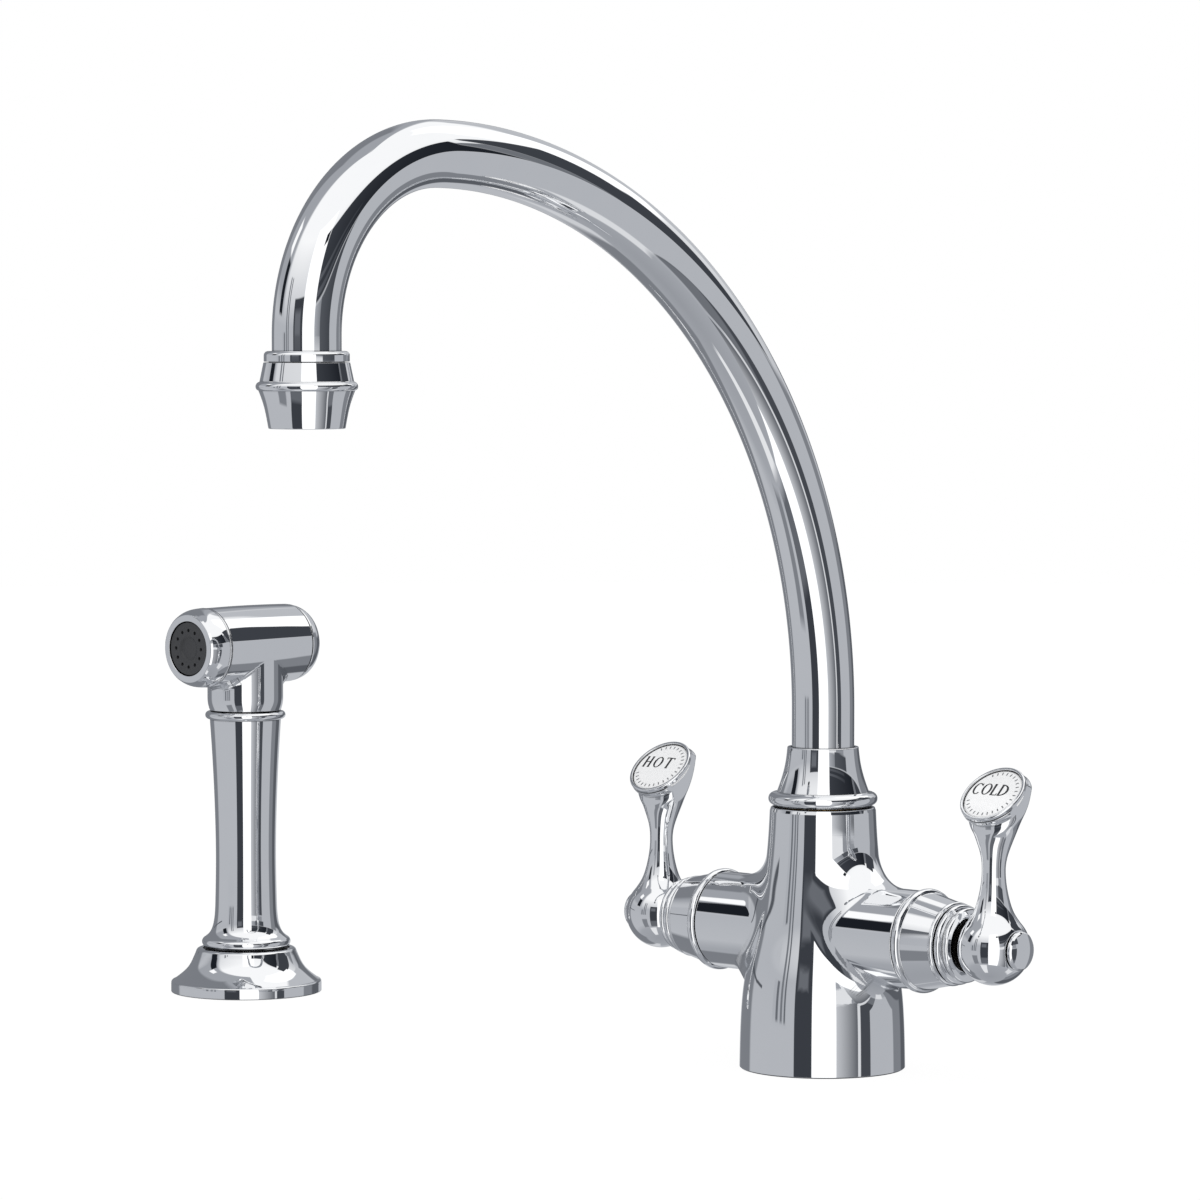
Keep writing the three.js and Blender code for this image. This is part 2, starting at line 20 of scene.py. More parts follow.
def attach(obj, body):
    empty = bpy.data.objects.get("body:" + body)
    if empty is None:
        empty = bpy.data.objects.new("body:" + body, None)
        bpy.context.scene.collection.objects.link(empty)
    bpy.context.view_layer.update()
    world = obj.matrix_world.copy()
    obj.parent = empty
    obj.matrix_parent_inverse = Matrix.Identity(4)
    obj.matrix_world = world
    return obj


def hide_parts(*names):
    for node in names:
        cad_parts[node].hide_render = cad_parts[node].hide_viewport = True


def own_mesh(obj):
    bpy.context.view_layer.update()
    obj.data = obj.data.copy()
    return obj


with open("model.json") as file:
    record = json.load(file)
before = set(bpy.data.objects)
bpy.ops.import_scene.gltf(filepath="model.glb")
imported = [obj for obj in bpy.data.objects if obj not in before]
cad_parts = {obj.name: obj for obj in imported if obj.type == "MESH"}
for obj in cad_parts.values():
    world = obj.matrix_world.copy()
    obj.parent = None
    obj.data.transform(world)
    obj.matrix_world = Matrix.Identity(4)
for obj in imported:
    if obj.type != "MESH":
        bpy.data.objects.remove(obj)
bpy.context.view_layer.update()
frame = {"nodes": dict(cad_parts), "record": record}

Array = NDArray[np.float64]
Triple = tuple[float, float, float]
Field = Callable[[Array], Array]
Form = Callable[[Array, Array, Array], Array]
Inputs = dict[str | int, object]

log = logging.getLogger("faucet")

MM = 0.001
EDGE = 0.15  # rounding of an edge that has no radius of its own
GAP = 0.3  # clearance between two pieces that lie against each other
LEAST_TURN = math.radians(7)  # a corner that turns less stays as it is
ARC_STEP = math.radians(15)  # largest turn between two points of a rounded corner
MOST_OF_SIDE = 0.45  # share of a side that one corner's rounding may take
CELLS = 1000  # merging cells in a millimetre
CELL_SHIFT = 0.137  # keeps round numbers away from the border of two cells
SLOPE_STEP = 0.01
SHARP = math.radians(32)  # faces that meet at more than this keep a sharp edge
INK_DEPTH, INK_HEIGHT = 0.12, 0.03
X_AXIS: Triple = (1.0, 0.0, 0.0)
Y_AXIS: Triple = (0.0, 1.0, 0.0)


# ---- Outlines in (radius, height) ----------------------------------------------------------------


def arc(r: float, h: float, radius: float, start: float, stop: float, steps: int = 12) -> Array:
    """Gives points of a circular arc: centre plus radius times (cos, sin) of evenly spaced angles.

    Args:
        r: Radius coordinate of the centre.
        h: Height coordinate of the centre.
        radius: Radius of the arc.
        start: First angle in degrees.
        stop: Last angle in degrees.
        steps: Number of equal steps.

    Returns:
        Points as rows of (radius, height).
    """
    a = np.radians(np.linspace(start, stop, steps + 1))
    return np.column_stack([r + radius * np.cos(a), h + radius * np.sin(a)])


def flowing(points: Sequence[Sequence[float]], steps: int = 40) -> Array:
    """Runs a natural cubic spline through points, with the chord length as its parameter.

    The second derivatives solve the usual three-term equations, zero at both ends, and each stretch is the
    cubic that has them and meets its two points.

    Args:
        points: Points to pass through, of any dimension.
        steps: Number of equal steps of the parameter.

    Returns:
        Points of the curve as rows.
    """
    p = np.asarray(points, float)
    t = np.r_[0.0, np.cumsum(np.linalg.norm(np.diff(p, axis=0), axis=1))]
    gap = np.diff(t)
    rates = np.diff(p, axis=0) / gap[:, None]
    inner = np.arange(1, len(t) - 1)
    system = np.eye(len(t))
    system[inner, inner - 1] = gap[:-1]
    system[inner, inner] = 2 * (gap[:-1] + gap[1:])
    system[inner, inner + 1] = gap[1:]
    right = np.zeros_like(p)
    right[1:-1] = 6 * np.diff(rates, axis=0)
    bend = np.linalg.solve(system, right)
    s = np.linspace(0, t[-1], steps + 1)
    i = np.clip(np.searchsorted(t, s, side="right") - 1, 0, len(gap) - 1)
    past, left, span = (s - t[i])[:, None], (t[i + 1] - s)[:, None], gap[i][:, None]
    cubic = (bend[i] * left**3 + bend[i + 1] * past**3) / (6 * span)
    near = (p[i] / span - bend[i] * span / 6) * left
    far = (p[i + 1] / span - bend[i + 1] * span / 6) * past
    return cubic + near + far


def rounded_corner(before: Array, corner: Array, after: Array, radius: float) -> Array:
    """Replaces a corner by an arc that leaves both of its sides smoothly.

    The arc starts radius * tan(turn / 2) before the corner, or less where a side is short.

    Args:
        before: The point before the corner.
        corner: The corner.
        after: The point after the corner.
        radius: Wanted radius of the arc.

    Returns:
        The corner itself where it hardly turns, else the arc's points.
    """
    d1, d2 = corner - before, after - corner
    long1, long2 = np.linalg.norm(d1), np.linalg.norm(d2)
    d1, d2 = d1 / long1, d2 / long2
    turn = math.atan2(d1[0] * d2[1] - d1[1] * d2[0], float(d1 @ d2))
    if radius <= 0 or abs(turn) < LEAST_TURN:
        return corner[None]
    half = math.tan(abs(turn) / 2)
    reach = min(radius * half, MOST_OF_SIDE * min(long1, long2))
    side = math.copysign(1.0, turn) * np.array([-d1[1], d1[0]])
    centre = corner - d1 * reach + side * reach / half
    steps = max(3, math.ceil(abs(turn) / ARC_STEP))
    a = np.linspace(0, turn, steps + 1)[:, None]
    spoke = -side * reach / half
    return centre + np.cos(a) * spoke + np.sin(a) * np.array([-spoke[1], spoke[0]])


def outline(*parts: Sequence[float] | Array) -> Array:
    """Joins corners and runs into one outline, listed anticlockwise, with every corner rounded.

    Args:
        *parts: A corner (radius, height) or (radius, height, rounding), or an array of points that already
            form a smooth run, of which only the two ends are rounded.

    Returns:
        Points as rows of (radius, height). An outline off the axis closes on itself.
    """
    points: list[Array] = []
    radii: list[float] = []
    for part in parts:
        run = np.atleast_2d(np.asarray(part, float))
        points.extend(run[:, :2])
        if len(run) > 1:
            radii.extend([EDGE, *[0.0] * (len(run) - 2), EDGE])
        else:
            radii.append(run[0, 2] if run.shape[1] == 3 else EDGE)
    closed = points[0][0] > 0 and points[-1][0] > 0
    count = len(points)
    bends = []
    for i, (point, radius) in enumerate(zip(points, radii)):
        end, ahead = not closed and i in (0, count - 1), points[(i + 1) % count]
        bends.append(point[None] if end else rounded_corner(points[i - 1], point, ahead, radius))
    return np.concatenate(bends)


def ring(inner: float, outer: float, low: float, high: float, rounding: float = EDGE) -> Array:
    """Outline of a plain tube or washer with all four edges rounded."""
    corners = ((inner, low), (outer, low), (outer, high), (inner, high))
    return outline(*((r, h, rounding) for r, h in corners))


# ---- Axes that an outline is turned about --------------------------------------------------------


@dataclass(frozen=True)
class Axis:
    """A straight axis: heights run along it from the start, and side and up span the rings."""

    start: Triple = (0.0, 0.0, 0.0)
    along: Triple = (0.0, 0.0, 1.0)
    side: Triple = X_AXIS

    def frames(self, heights: Array) -> tuple[Array, Array, Array, Array]:
        """Places a ring at each height.

        Args:
            heights: Heights along the axis.

        Returns:
            The rings' centres and their side, up and along directions, one row for each height.
        """
        ones = np.ones((len(heights), 1))
        along, side = ones * self.along, ones * self.side
        return np.asarray(self.start) + heights[:, None] * along, side, np.cross(along, side), along


@dataclass(frozen=True)
class SpoutLine(Axis):
    """The spout's centre line in the YZ plane: up, over in two quarter bends, and down to the tip.

    Its heights are distances along the line. A bend's points are its centre plus its radius times the sine
    and cosine of distance over radius.
    """

    foot: float = 86.0
    straight_top: float = 118.5
    big_bend: float = 180.0
    small_bend: float = 55.0
    tip: float = 231.0

    def marks(self) -> Array:
        """Gives the marks along the line.

        Returns:
            Distances at which the first bend starts, the second starts, it ends, and the tip is reached.
        """
        crown = self.straight_top + self.big_bend - self.small_bend
        bends = [radius * math.pi / 2 for radius in (self.big_bend, self.small_bend)]
        return np.cumsum([self.straight_top - self.foot, *bends, crown - self.tip])

    def frames(self, heights: Array) -> tuple[Array, Array, Array, Array]:
        """Places a ring at each distance.

        Args:
            heights: Distances along the line.

        Returns:
            The rings' centres and their side, up and along directions, one row for each distance.
        """
        rise, big, small, _ = self.marks()
        first = np.clip((heights - rise) / self.big_bend, 0, math.pi / 2)
        second = np.clip((heights - big) / self.small_bend, 0, math.pi / 2)
        angle = first + second
        low, high = np.minimum(heights, rise), np.maximum(heights - small, 0)
        y = self.big_bend * (np.cos(first) - 1) - self.small_bend * np.sin(second)
        z = self.foot + low + self.big_bend * np.sin(first) + self.small_bend * (np.cos(second) - 1) - high
        zero = np.zeros_like(heights)
        along = np.column_stack([zero, -np.sin(angle), np.cos(angle)])
        side = np.ones((len(heights), 1)) * X_AXIS
        return np.column_stack([zero, y, z]), side, np.cross(along, side), along


@dataclass(frozen=True)
class LeverLine(Axis):
    """The lever's centre line: upright through ball and waist, then leaning into the tilted head.

    The share of the tilt and of the backward shift rises as 3 s^2 - 2 s^3 between waist and neck top. Past
    the neck top the line runs straight along the head's own axis, and what is left of the shift fades out.
    """

    waist: float = 25.2
    neck_top: float = 47.6
    tilt: float = 43.0
    shift: float = 2.7
    head_shift: float = 0.917
    fade: float = 2.4

    def frames(self, heights: Array) -> tuple[Array, Array, Array, Array]:
        """Places a ring at each height.

        Args:
            heights: Heights above the ball's centre, and past the neck top distances along the head's axis.

        Returns:
            The rings' centres and their side, up and along directions, one row for each height.
        """
        s = np.clip((heights - self.waist) / (self.neck_top - self.waist), 0, 1)
        share = s * s * (3 - 2 * s)
        angle = math.radians(self.tilt) * share
        zero = np.zeros_like(heights)
        along = np.column_stack([zero, -np.sin(angle), np.cos(angle)])
        side = np.ones((len(heights), 1)) * X_AXIS
        up = np.cross(along, side)
        past = np.maximum(heights - self.neck_top, 0)
        f = np.clip(past / self.fade, 0, 1)
        slide = self.head_shift * f * f * (3 - 2 * f)
        centre = np.column_stack([zero, self.shift * share, np.minimum(heights, self.neck_top)])
        centre += np.asarray(self.start) + past[:, None] * along - slide[:, None] * up
        return centre, side, up, along


# ---- Surfaces ------------------------------------------------------------------------------------


@dataclass(frozen=True)
class Grid:
    """A two-parameter sheet: points and outward normals of shape (rows, columns, 3), with cells left out."""

    points: Array
    normals: Array
    left_out: tuple[tuple[int, int, int, int], ...] = ()


@dataclass(frozen=True)
class Shell:
    """A closed surface: points and outward normals in millimetres, and its faces as rows of indices."""

    points: Array
    normals: Array | None
    faces: list[list[int]]


def weld(*grids: Grid, exact: bool = True) -> Shell:
    """Joins sheets into one closed shell by merging points that lie within a thousandth of a millimetre.

    A cell whose side has shrunk to a pole becomes a triangle.

    Args:
        *grids: The sheets, with their rows and columns running so that row x column order faces outwards.
        exact: Whether the sheets' own normals are kept, or left to the mesh.

    Returns:
        The closed shell.
    """
    cells, offset = [], 0
    for grid in grids:
        rows, columns = grid.points.shape[:2]
        index = np.arange(rows * columns).reshape(rows, columns) + offset
        quads = np.stack([index[:-1, :-1], index[:-1, 1:], index[1:, 1:], index[1:, :-1]], axis=-1)
        keep = np.ones(quads.shape[:2], bool)
        for row0, row1, column0, column1 in grid.left_out:
            keep[row0:row1, column0:column1] = False
        cells.append(quads[keep])
        offset += rows * columns
    points = np.concatenate([g.points.reshape(-1, 3) for g in grids])
    normals = np.concatenate([g.normals.reshape(-1, 3) for g in grids])
    places = np.round(points * CELLS + CELL_SHIFT)
    _, first, inverse = np.unique(places, axis=0, return_index=True, return_inverse=True)
    quads = inverse.reshape(-1)[np.concatenate(cells)]
    pinched = quads == np.roll(quads, -1, axis=1)
    whole = quads[~pinched.any(axis=1)].tolist()
    triangles = [quads[pinched[:, side] & (pinched.sum(axis=1) == 1)] for side in range(4)]
    triangles = [np.delete(q, side, axis=1) for side, q in enumerate(triangles)]
    return Shell(points[first], normals[first] if exact else None, whole + np.concatenate(triangles).tolist())


def lathe_grid(profile: Array, axis: Axis, angles: Array, form: Form | None = None) -> Grid:
    """Turns an outline about an axis: centre(height) + radius * (cos angle * side + sin angle * up).

    The normal in the outline's plane is square to the chord between a point's two neighbours.

    Args:
        profile: Anticlockwise (radius, height) points, from axis to axis or closed on itself.
        axis: The axis.
        angles: Angles of the columns in radians; a full turn has its last angle 2 pi past its first.
        form: Optional change of the radius, from arrays of radius, height and angle.

    Returns:
        The turned sheet.
    """
    closed = profile[0, 0] > 0 and profile[-1, 0] > 0
    before, after = np.roll(profile, 1, axis=0), np.roll(profile, -1, axis=0)
    if not closed:
        before[0], after[-1] = profile[0], profile[-1]
    chord = after - before
    chord /= np.linalg.norm(chord, axis=1)[:, None]
    if profile[0, 0] == 0:
        chord[0] = (1, 0)
    if profile[-1, 0] == 0:
        chord[-1] = (-1, 0)
    if closed:
        profile, chord = np.vstack([profile, profile[:1]]), np.vstack([chord, chord[:1]])
    radius = np.repeat(profile[:, :1], len(angles), axis=1)
    if form:
        radius = form(radius, profile[:, 1:], angles[None])
    centre, side, up, along = (v[:, None] for v in axis.frames(profile[:, 1]))
    spoke = np.cos(angles)[None, :, None] * side + np.sin(angles)[None, :, None] * up
    points = centre + radius[..., None] * spoke
    normals = chord[:, None, 1:] * spoke - chord[:, None, :1] * along
    if math.isclose(angles[-1] - angles[0], 2 * math.pi):
        points[:, -1], normals[:, -1] = points[:, 0], normals[:, 0]
    return Grid(points, normals)


def full_turn(sides: int, start: float = 0.0) -> Array:
    """Angles of a full turn in radians, from a start angle in degrees, with the first angle repeated."""
    return math.radians(start) + np.linspace(0, 2 * math.pi, sides + 1)


def turned(profile: Array, axis: Axis = Axis(), sides: int = 96, form: Form | None = None) -> Shell:
    """A closed shell turned about an axis; with a form, its normals are left to the mesh."""
    return weld(lathe_grid(profile, axis, full_turn(sides), form), exact=form is None)


def slope_of(field: Field, points: Array) -> Array:
    """Gradient of a field, from its differences over a small step each way."""
    shifts = SLOPE_STEP * np.eye(3)
    return np.stack([(field(points + s) - field(points - s)) / (2 * SLOPE_STEP) for s in shifts], axis=-1)


def settled(field: Field, points: Array, rounds: int = 10) -> tuple[Array, Array]:
    """Slides points along a field's gradient until the field is zero, by Newton's steps.

    Args:
        field: A signed distance, roughly, that is positive outside.
        points: Points near the surface, as rows.
        rounds: Number of steps.

    Returns:
        The points on the surface, and the unit gradients there.
    """
    for _ in range(rounds):
        slope = slope_of(field, points)
        points = points - slope * (field(points) / (slope**2).sum(axis=1))[:, None]
    slope = slope_of(field, points)
    return points, slope / np.linalg.norm(slope, axis=1)[:, None]


@dataclass(frozen=True)
class Branch:
    """A turned arm that leaves a turned trunk through a window in the trunk's sheet.

    Attributes:
        axis: The arm's axis.
        profile: The arm's outline from its root ring outwards, back in and to the axis.
        window: First and last row, first and last column of the trunk that the arm replaces.
        rings: Number of steps from the window's edge to the arm's root ring.
    """

    axis: Axis
    profile: Array
    window: tuple[int, int, int, int]
    rings: int = 56

    def grid(self, trunk: Grid, field: Field) -> Grid:
        """Runs rings from the window's edge to the arm, settled on the field, and then the arm's outline.

        A ring lies at an even share of the way between the window's edge and the arm's root ring, where each
        point keeps the angle about the arm's axis that it has on the edge, evened out for the edge's shape.

        Args:
            trunk: The trunk's sheet, already settled.
            field: The field of trunk and arm together.

        Returns:
            The sheet that fills the window.
        """
        row0, row1, column0, column1 = self.window
        edge = trunk.points
        loop = np.concatenate([
            edge[row0:row1, column1], edge[row1, column1:column0:-1],
            edge[row1:row0:-1, column0], edge[row0, column0:column1],
        ])
        centre, side, up, _ = (v[0] for v in self.axis.frames(np.zeros(1)))
        across, rise = (loop - centre) @ side, (loop - centre) @ up
        if (across * np.roll(rise, -1) - np.roll(across, -1) * rise).sum() < 0:
            loop, across, rise = loop[::-1], across[::-1], rise[::-1]
        angle = np.unwrap(np.arctan2(rise / np.abs(rise).max(), across / np.abs(across).max()))
        loop, angle = np.vstack([loop, loop[:1]]), np.append(angle, angle[0] + 2 * math.pi)
        arm = lathe_grid(self.profile, self.axis, angle)
        share = np.linspace(0, 1, self.rings + 1)[:, None, None]
        between = (1 - share) * loop + share * arm.points[0]
        flat, normals = settled(field, between.reshape(-1, 3))
        points = flat.reshape(between.shape)
        points[0], points[:, -1] = loop, points[:, 0]
        points[0, -1] = loop[0]
        normals = normals.reshape(between.shape)
        return Grid(np.concatenate([points, arm.points[1:]]), np.concatenate([normals, arm.normals[1:]]))


def round_union(first: Array, second: Array, fillet: Array) -> Array:
    """Joins two distances with a concave fillet: a quarter circle where they meet at a right angle."""
    inside = np.hypot(np.maximum(fillet - first, 0), np.maximum(fillet - second, 0))
    return np.maximum(fillet, np.minimum(first, second)) - inside


def branched(trunk: Grid, rows: NDArray[np.int64], field: Field, *arms: Branch) -> Shell:
    """Closes a trunk and its arms into one shell.

    Args:
        trunk: The trunk's sheet.
        rows: Rows of the trunk that are settled on the field.
        field: The field of trunk and arms together.
        *arms: The arms, whose windows lie within those rows.

    Returns:
        The closed shell.
    """
    points, normals = trunk.points.copy(), trunk.normals.copy()
    flat, slopes = settled(field, points[rows].reshape(-1, 3))
    points[rows], normals[rows] = flat.reshape(points[rows].shape), slopes.reshape(points[rows].shape)
    points[:, -1], normals[:, -1] = points[:, 0], normals[:, 0]
    base = Grid(points, normals, tuple(arm.window for arm in arms))
    return weld(base, *(arm.grid(base, field) for arm in arms))


def ribbon(path: Array, widths: Array, lift: Callable[[Array], Array], closed: bool = False) -> Shell:
    """Lays a flat stroke of ink along a path: its four edges lie half a width each way, below and above.

    Args:
        path: Points (across, up) of the stroke's middle line.
        widths: Width of the stroke at each point.
        lift: Turns rows of (across, up, height above the plate) into points of the frame.
        closed: Whether the path ends where it starts.

    Returns:
        The closed stroke.
    """
    if closed:
        step = np.roll(path, -1, axis=0) - np.roll(path, 1, axis=0)
    else:
        step = np.gradient(path, axis=0)
    step /= np.linalg.norm(step, axis=1)[:, None]
    out = np.column_stack([step[:, 1], -step[:, 0]]) * widths[:, None] / 2
    low, high = np.full((len(path), 1), -INK_DEPTH), np.full((len(path), 1), INK_HEIGHT)
    edges = [np.hstack([path + out, low]), np.hstack([path + out, high])]
    edges += [np.hstack([path - out, high]), np.hstack([path - out, low])]
    sheet = np.stack([*edges, edges[0]], axis=1)
    if closed:
        sheet = np.concatenate([sheet, sheet[:1]])
    else:
        ends = [np.repeat(sheet[i].mean(axis=0)[None, None], sheet.shape[1], axis=1) for i in (0, -1)]
        sheet = np.concatenate([ends[0], sheet, ends[1]])
    points = lift(sheet.reshape(-1, 3)).reshape(sheet.shape)
    return weld(Grid(points, np.zeros_like(points)), exact=False)


def coiled(axis: Axis, radius: float, wire: float, low: float, high: float, turns: int) -> Shell:
    """Winds a round wire about an axis: its middle line is a helix that climbs evenly.

    The wire's section is spanned by the spoke to the middle line and by tangent x spoke.

    Args:
        axis: The axis.
        radius: Radius of the middle line.
        wire: Radius of the wire.
        low: Height of the first end.
        high: Height of the last end.
        turns: Number of turns.

    Returns:
        The closed coil.
    """
    steps, sides = 32, 12
    angle = np.linspace(0, 2 * math.pi * turns, steps * turns + 1)
    centre, side, up, _ = axis.frames(np.linspace(low, high, len(angle)))
    spoke = np.cos(angle)[:, None] * side + np.sin(angle)[:, None] * up
    line = (centre + radius * spoke)[:, None]
    tangent = np.gradient(line[:, 0], axis=0)
    across = np.cross(tangent / np.linalg.norm(tangent, axis=1)[:, None], spoke)
    around = full_turn(sides)[:, None]
    points = line + wire * (np.cos(around) * spoke[:, None] + np.sin(around) * across[:, None])
    points[:, -1] = points[:, 0]
    ends = [np.repeat(line[i][None], len(around), axis=1) for i in (0, -1)]
    points = np.concatenate([ends[0], points, ends[1]])
    return weld(Grid(points, np.zeros_like(points)), exact=False)


def drilled_disc(inner: float, outer: float, height: float, hole: float, circle: float, depth: float,
                 count: int, axis: Axis) -> list[Grid]:
    """Fills a flat ring with equal sectors, each with one blind hole.

    A sector's sheet runs in rings from its own edge, two arcs and two spokes, to the hole's rim at an even
    share of the way, then down the hole's wall and in to its middle.

    Args:
        inner: Inner radius of the flat ring.
        outer: Outer radius of the flat ring.
        height: Height of its face along the axis.
        hole: Radius of a hole.
        circle: Radius of the circle that the holes lie on.
        depth: Depth of a hole.
        count: Number of holes.
        axis: The axis.

    Returns:
        One sheet for each hole.
    """
    half, steps, bevel = math.pi / count, 12, 0.08
    turn = np.linspace(-half, half, steps + 1)
    reach = np.linspace(inner, outer, steps + 1)
    radius = np.concatenate([np.full(steps, outer), reach[:0:-1], np.full(steps, inner), reach[:-1]])
    angle = np.concatenate([turn[:-1], np.full(steps, half), turn[:0:-1], np.full(steps, -half)])
    edge = np.column_stack([radius * np.cos(angle), radius * np.sin(angle)])
    around = np.arctan2(edge[:, 1], edge[:, 0] - circle)
    rim = np.column_stack([circle + hole * np.cos(around), hole * np.sin(around)])
    share = np.linspace(0, 1, 7)[:, None, None]
    flat = (1 - share) * edge + share * rim
    middle = np.broadcast_to([circle, 0.0], rim.shape)
    plan = np.concatenate([flat, rim[None], rim[None], middle[None]])
    level = np.concatenate([np.full(len(flat), height), [height - bevel, height - depth, height - depth]])
    plan = np.concatenate([plan, plan[:, :1]], axis=1)
    grids = []
    for turn_by in 2 * half * np.arange(count):
        cos, sin = math.cos(turn_by), math.sin(turn_by)
        u, v = plan[..., 0] * cos - plan[..., 1] * sin, plan[..., 0] * sin + plan[..., 1] * cos
        centre, side, up, along = (w[:, None] for w in axis.frames(level))
        points = centre + u[..., None] * side + v[..., None] * up
        grids.append(Grid(points, np.broadcast_to(along, points.shape)))
    return grids


# ---- Finishes ------------------------------------------------------------------------------------


@dataclass(frozen=True)
class NodeTree:
    """A tree of shader nodes that is being built."""

    tree: bpy.types.NodeTree

    def fill(self, node: bpy.types.Node, inputs: Inputs) -> None:
        """Gives a node's inputs their values, or links them where the value is another node's output.

        Args:
            node: The node.
            inputs: What its inputs get, by name or place.
        """
        for key, value in inputs.items():
            if isinstance(value, bpy.types.NodeSocket):
                self.tree.links.new(value, node.inputs[key])
            else:
                node.inputs[key].default_value = value

    def add(self, kind: str, inputs: Inputs | None = None, **settings: object) -> bpy.types.Node:
        """Adds a node.

        Args:
            kind: Its type, without the word that all shader nodes start with.
            inputs: What its inputs get, by name or place.
            **settings: Its own settings.

        Returns:
            The node.
        """
        node = self.tree.nodes.new(f"ShaderNode{kind}")
        for name, setting in settings.items():
            setattr(node, name, setting)
        self.fill(node, inputs or {})
        return node

    def number(self, operation: str, *values: object) -> bpy.types.NodeSocket:
        """Adds a calculation on numbers and returns its result."""
        return self.add("Math", dict(enumerate(values)), operation=operation).outputs[0]

    def vector(self, operation: str, *values: object) -> bpy.types.NodeSocket:
        """Adds a calculation on vectors and returns its result."""
        return self.add("VectorMath", dict(enumerate(values)), operation=operation).outputs[0]

    def mix(self, share: bpy.types.NodeSocket, first: object, second: object) -> bpy.types.NodeSocket:
        """Adds a mix of two colours, each a socket or a linear colour, and returns it."""
        first, second = (c if isinstance(c, bpy.types.NodeSocket) else (*c, 1.0) for c in (first, second))
        return self.add("Mix", {0: share, 6: first, 7: second}, data_type="RGBA").outputs[2]


def emptied(owner: bpy.types.Material | bpy.types.World) -> NodeTree:
    """Turns nodes on and clears them.

    Args:
        owner: The material or world.

    Returns:
        Its empty tree.
    """
    owner.use_nodes = True
    owner.node_tree.nodes.clear()
    return NodeTree(owner.node_tree)


@dataclass(frozen=True)
class Finish:
    """A surface finish with a fine, uneven grain read from the object's own coordinates.

    Attributes:
        name: Name of the material.
        slot: The record's material slot.
        colour: Main colour, linear.
        second: Colour that the grain drifts towards, linear.
        metallic: How metallic it is.
        roughness: Lowest and highest roughness of the grain.
        grain: Size of the grain in millimetres.
        bump: Height of the grain in millimetres.
        coat: Strength of a clear glaze.
        ior: Refractive index of what isn't metal.
        recess: Distance in millimetres to a facing surface within which the colour fades to painted shade,
            from ambient occlusion, as shade falls in a seam.
    """

    name: str
    slot: str
    colour: Triple
    second: Triple
    metallic: float = 0.0
    roughness: tuple[float, float] = (0.3, 0.4)
    grain: float = 4.0
    bump: float = 0.0
    coat: float = 0.0
    ior: float = 1.5
    recess: float = 0.0

    def material(self) -> bpy.types.Material:
        """Builds the material once.

        Returns:
            The material, which all pieces of this finish share.
        """
        made = bpy.data.materials.get(self.name)
        if made:
            return made
        material = bpy.data.materials.new(self.name)
        material.use_nodes = True
        material.diffuse_color = (*self.colour, 1.0)
        tree, shader = NodeTree(material.node_tree), material.node_tree.nodes["Principled BSDF"]
        grain = self.pattern(tree)
        low, high = self.roughness
        rough = tree.add("MapRange", {"Value": grain, "To Min": low, "To Max": high})
        tree.fill(shader, {
            "Base Color": self.darkened(tree, tree.mix(grain, self.colour, self.second)),
            "Metallic": self.metallic, "Roughness": rough.outputs["Result"], "IOR": self.ior,
            "Coat Weight": self.coat, "Coat Roughness": 0.04,
        })
        if self.bump:
            bump = tree.add("Bump", {"Distance": self.bump * MM, "Height": grain})
            tree.fill(shader, {"Normal": bump.outputs["Normal"]})
        return material

    def darkened(self, tree: NodeTree, colour: bpy.types.NodeSocket) -> bpy.types.NodeSocket:
        """Paints shade: fades a colour to near black with the square of its ambient occlusion, where shade
        falls in seams and hollows.

        Args:
            tree: The material's nodes.
            colour: The open surface's colour.

        Returns:
            The colour, unchanged where the finish has no recess distance.
        """
        if not self.recess:
            return colour
        # painted shade: ambient occlusion mixes near black into seams and hollows
        nearness = tree.add("AmbientOcclusion", {"Distance": self.recess * MM}, samples=8)
        return tree.mix(tree.number("POWER", nearness.outputs["AO"], 2.0), (0.012, 0.012, 0.014), colour)

    def pattern(self, tree: NodeTree) -> bpy.types.NodeSocket:
        """Adds the grain, an even noise.

        Args:
            tree: The material's nodes.

        Returns:
            Its value.
        """
        place = tree.add("TexCoord").outputs["Object"]
        inputs = {"Vector": place, "Scale": 1 / (self.grain * MM), "Detail": 4.0, "Roughness": 0.6}
        return tree.add("TexNoise", inputs).outputs[0]


@dataclass(frozen=True)
class TurnedFinish(Finish):
    """A finish with tool marks: the noise is drawn out level, so its streaks run round an upright axis."""

    stretch: float = 12.0

    def pattern(self, tree: NodeTree) -> bpy.types.NodeSocket:
        """Adds the streaks.

        Args:
            tree: The material's nodes.

        Returns:
            Their value.
        """
        place = tree.add("TexCoord").outputs["Object"]
        squeezed = tree.add("Mapping", {"Vector": place, "Scale": (1.0, 1.0, self.stretch)})
        inputs = {"Vector": squeezed.outputs["Vector"], "Scale": 1 / (self.grain * MM), "Detail": 5.0}
        return tree.add("TexNoise", inputs).outputs[0]


# chrome carries painted shade, near black, in seams and hollows within 0.6 mm of a facing surface
CHROME = Finish("polished_chrome", "chrome_plate", (0.90, 0.905, 0.915), (0.87, 0.88, 0.895), metallic=1.0,
                roughness=(0.012, 0.03), grain=9.0, recess=0.6)
BRASS = TurnedFinish("turned_brass", "bare_brass", (0.62, 0.42, 0.16), (0.48, 0.31, 0.11), metallic=1.0,
                     roughness=(0.22, 0.36), grain=3.0, bump=0.02)
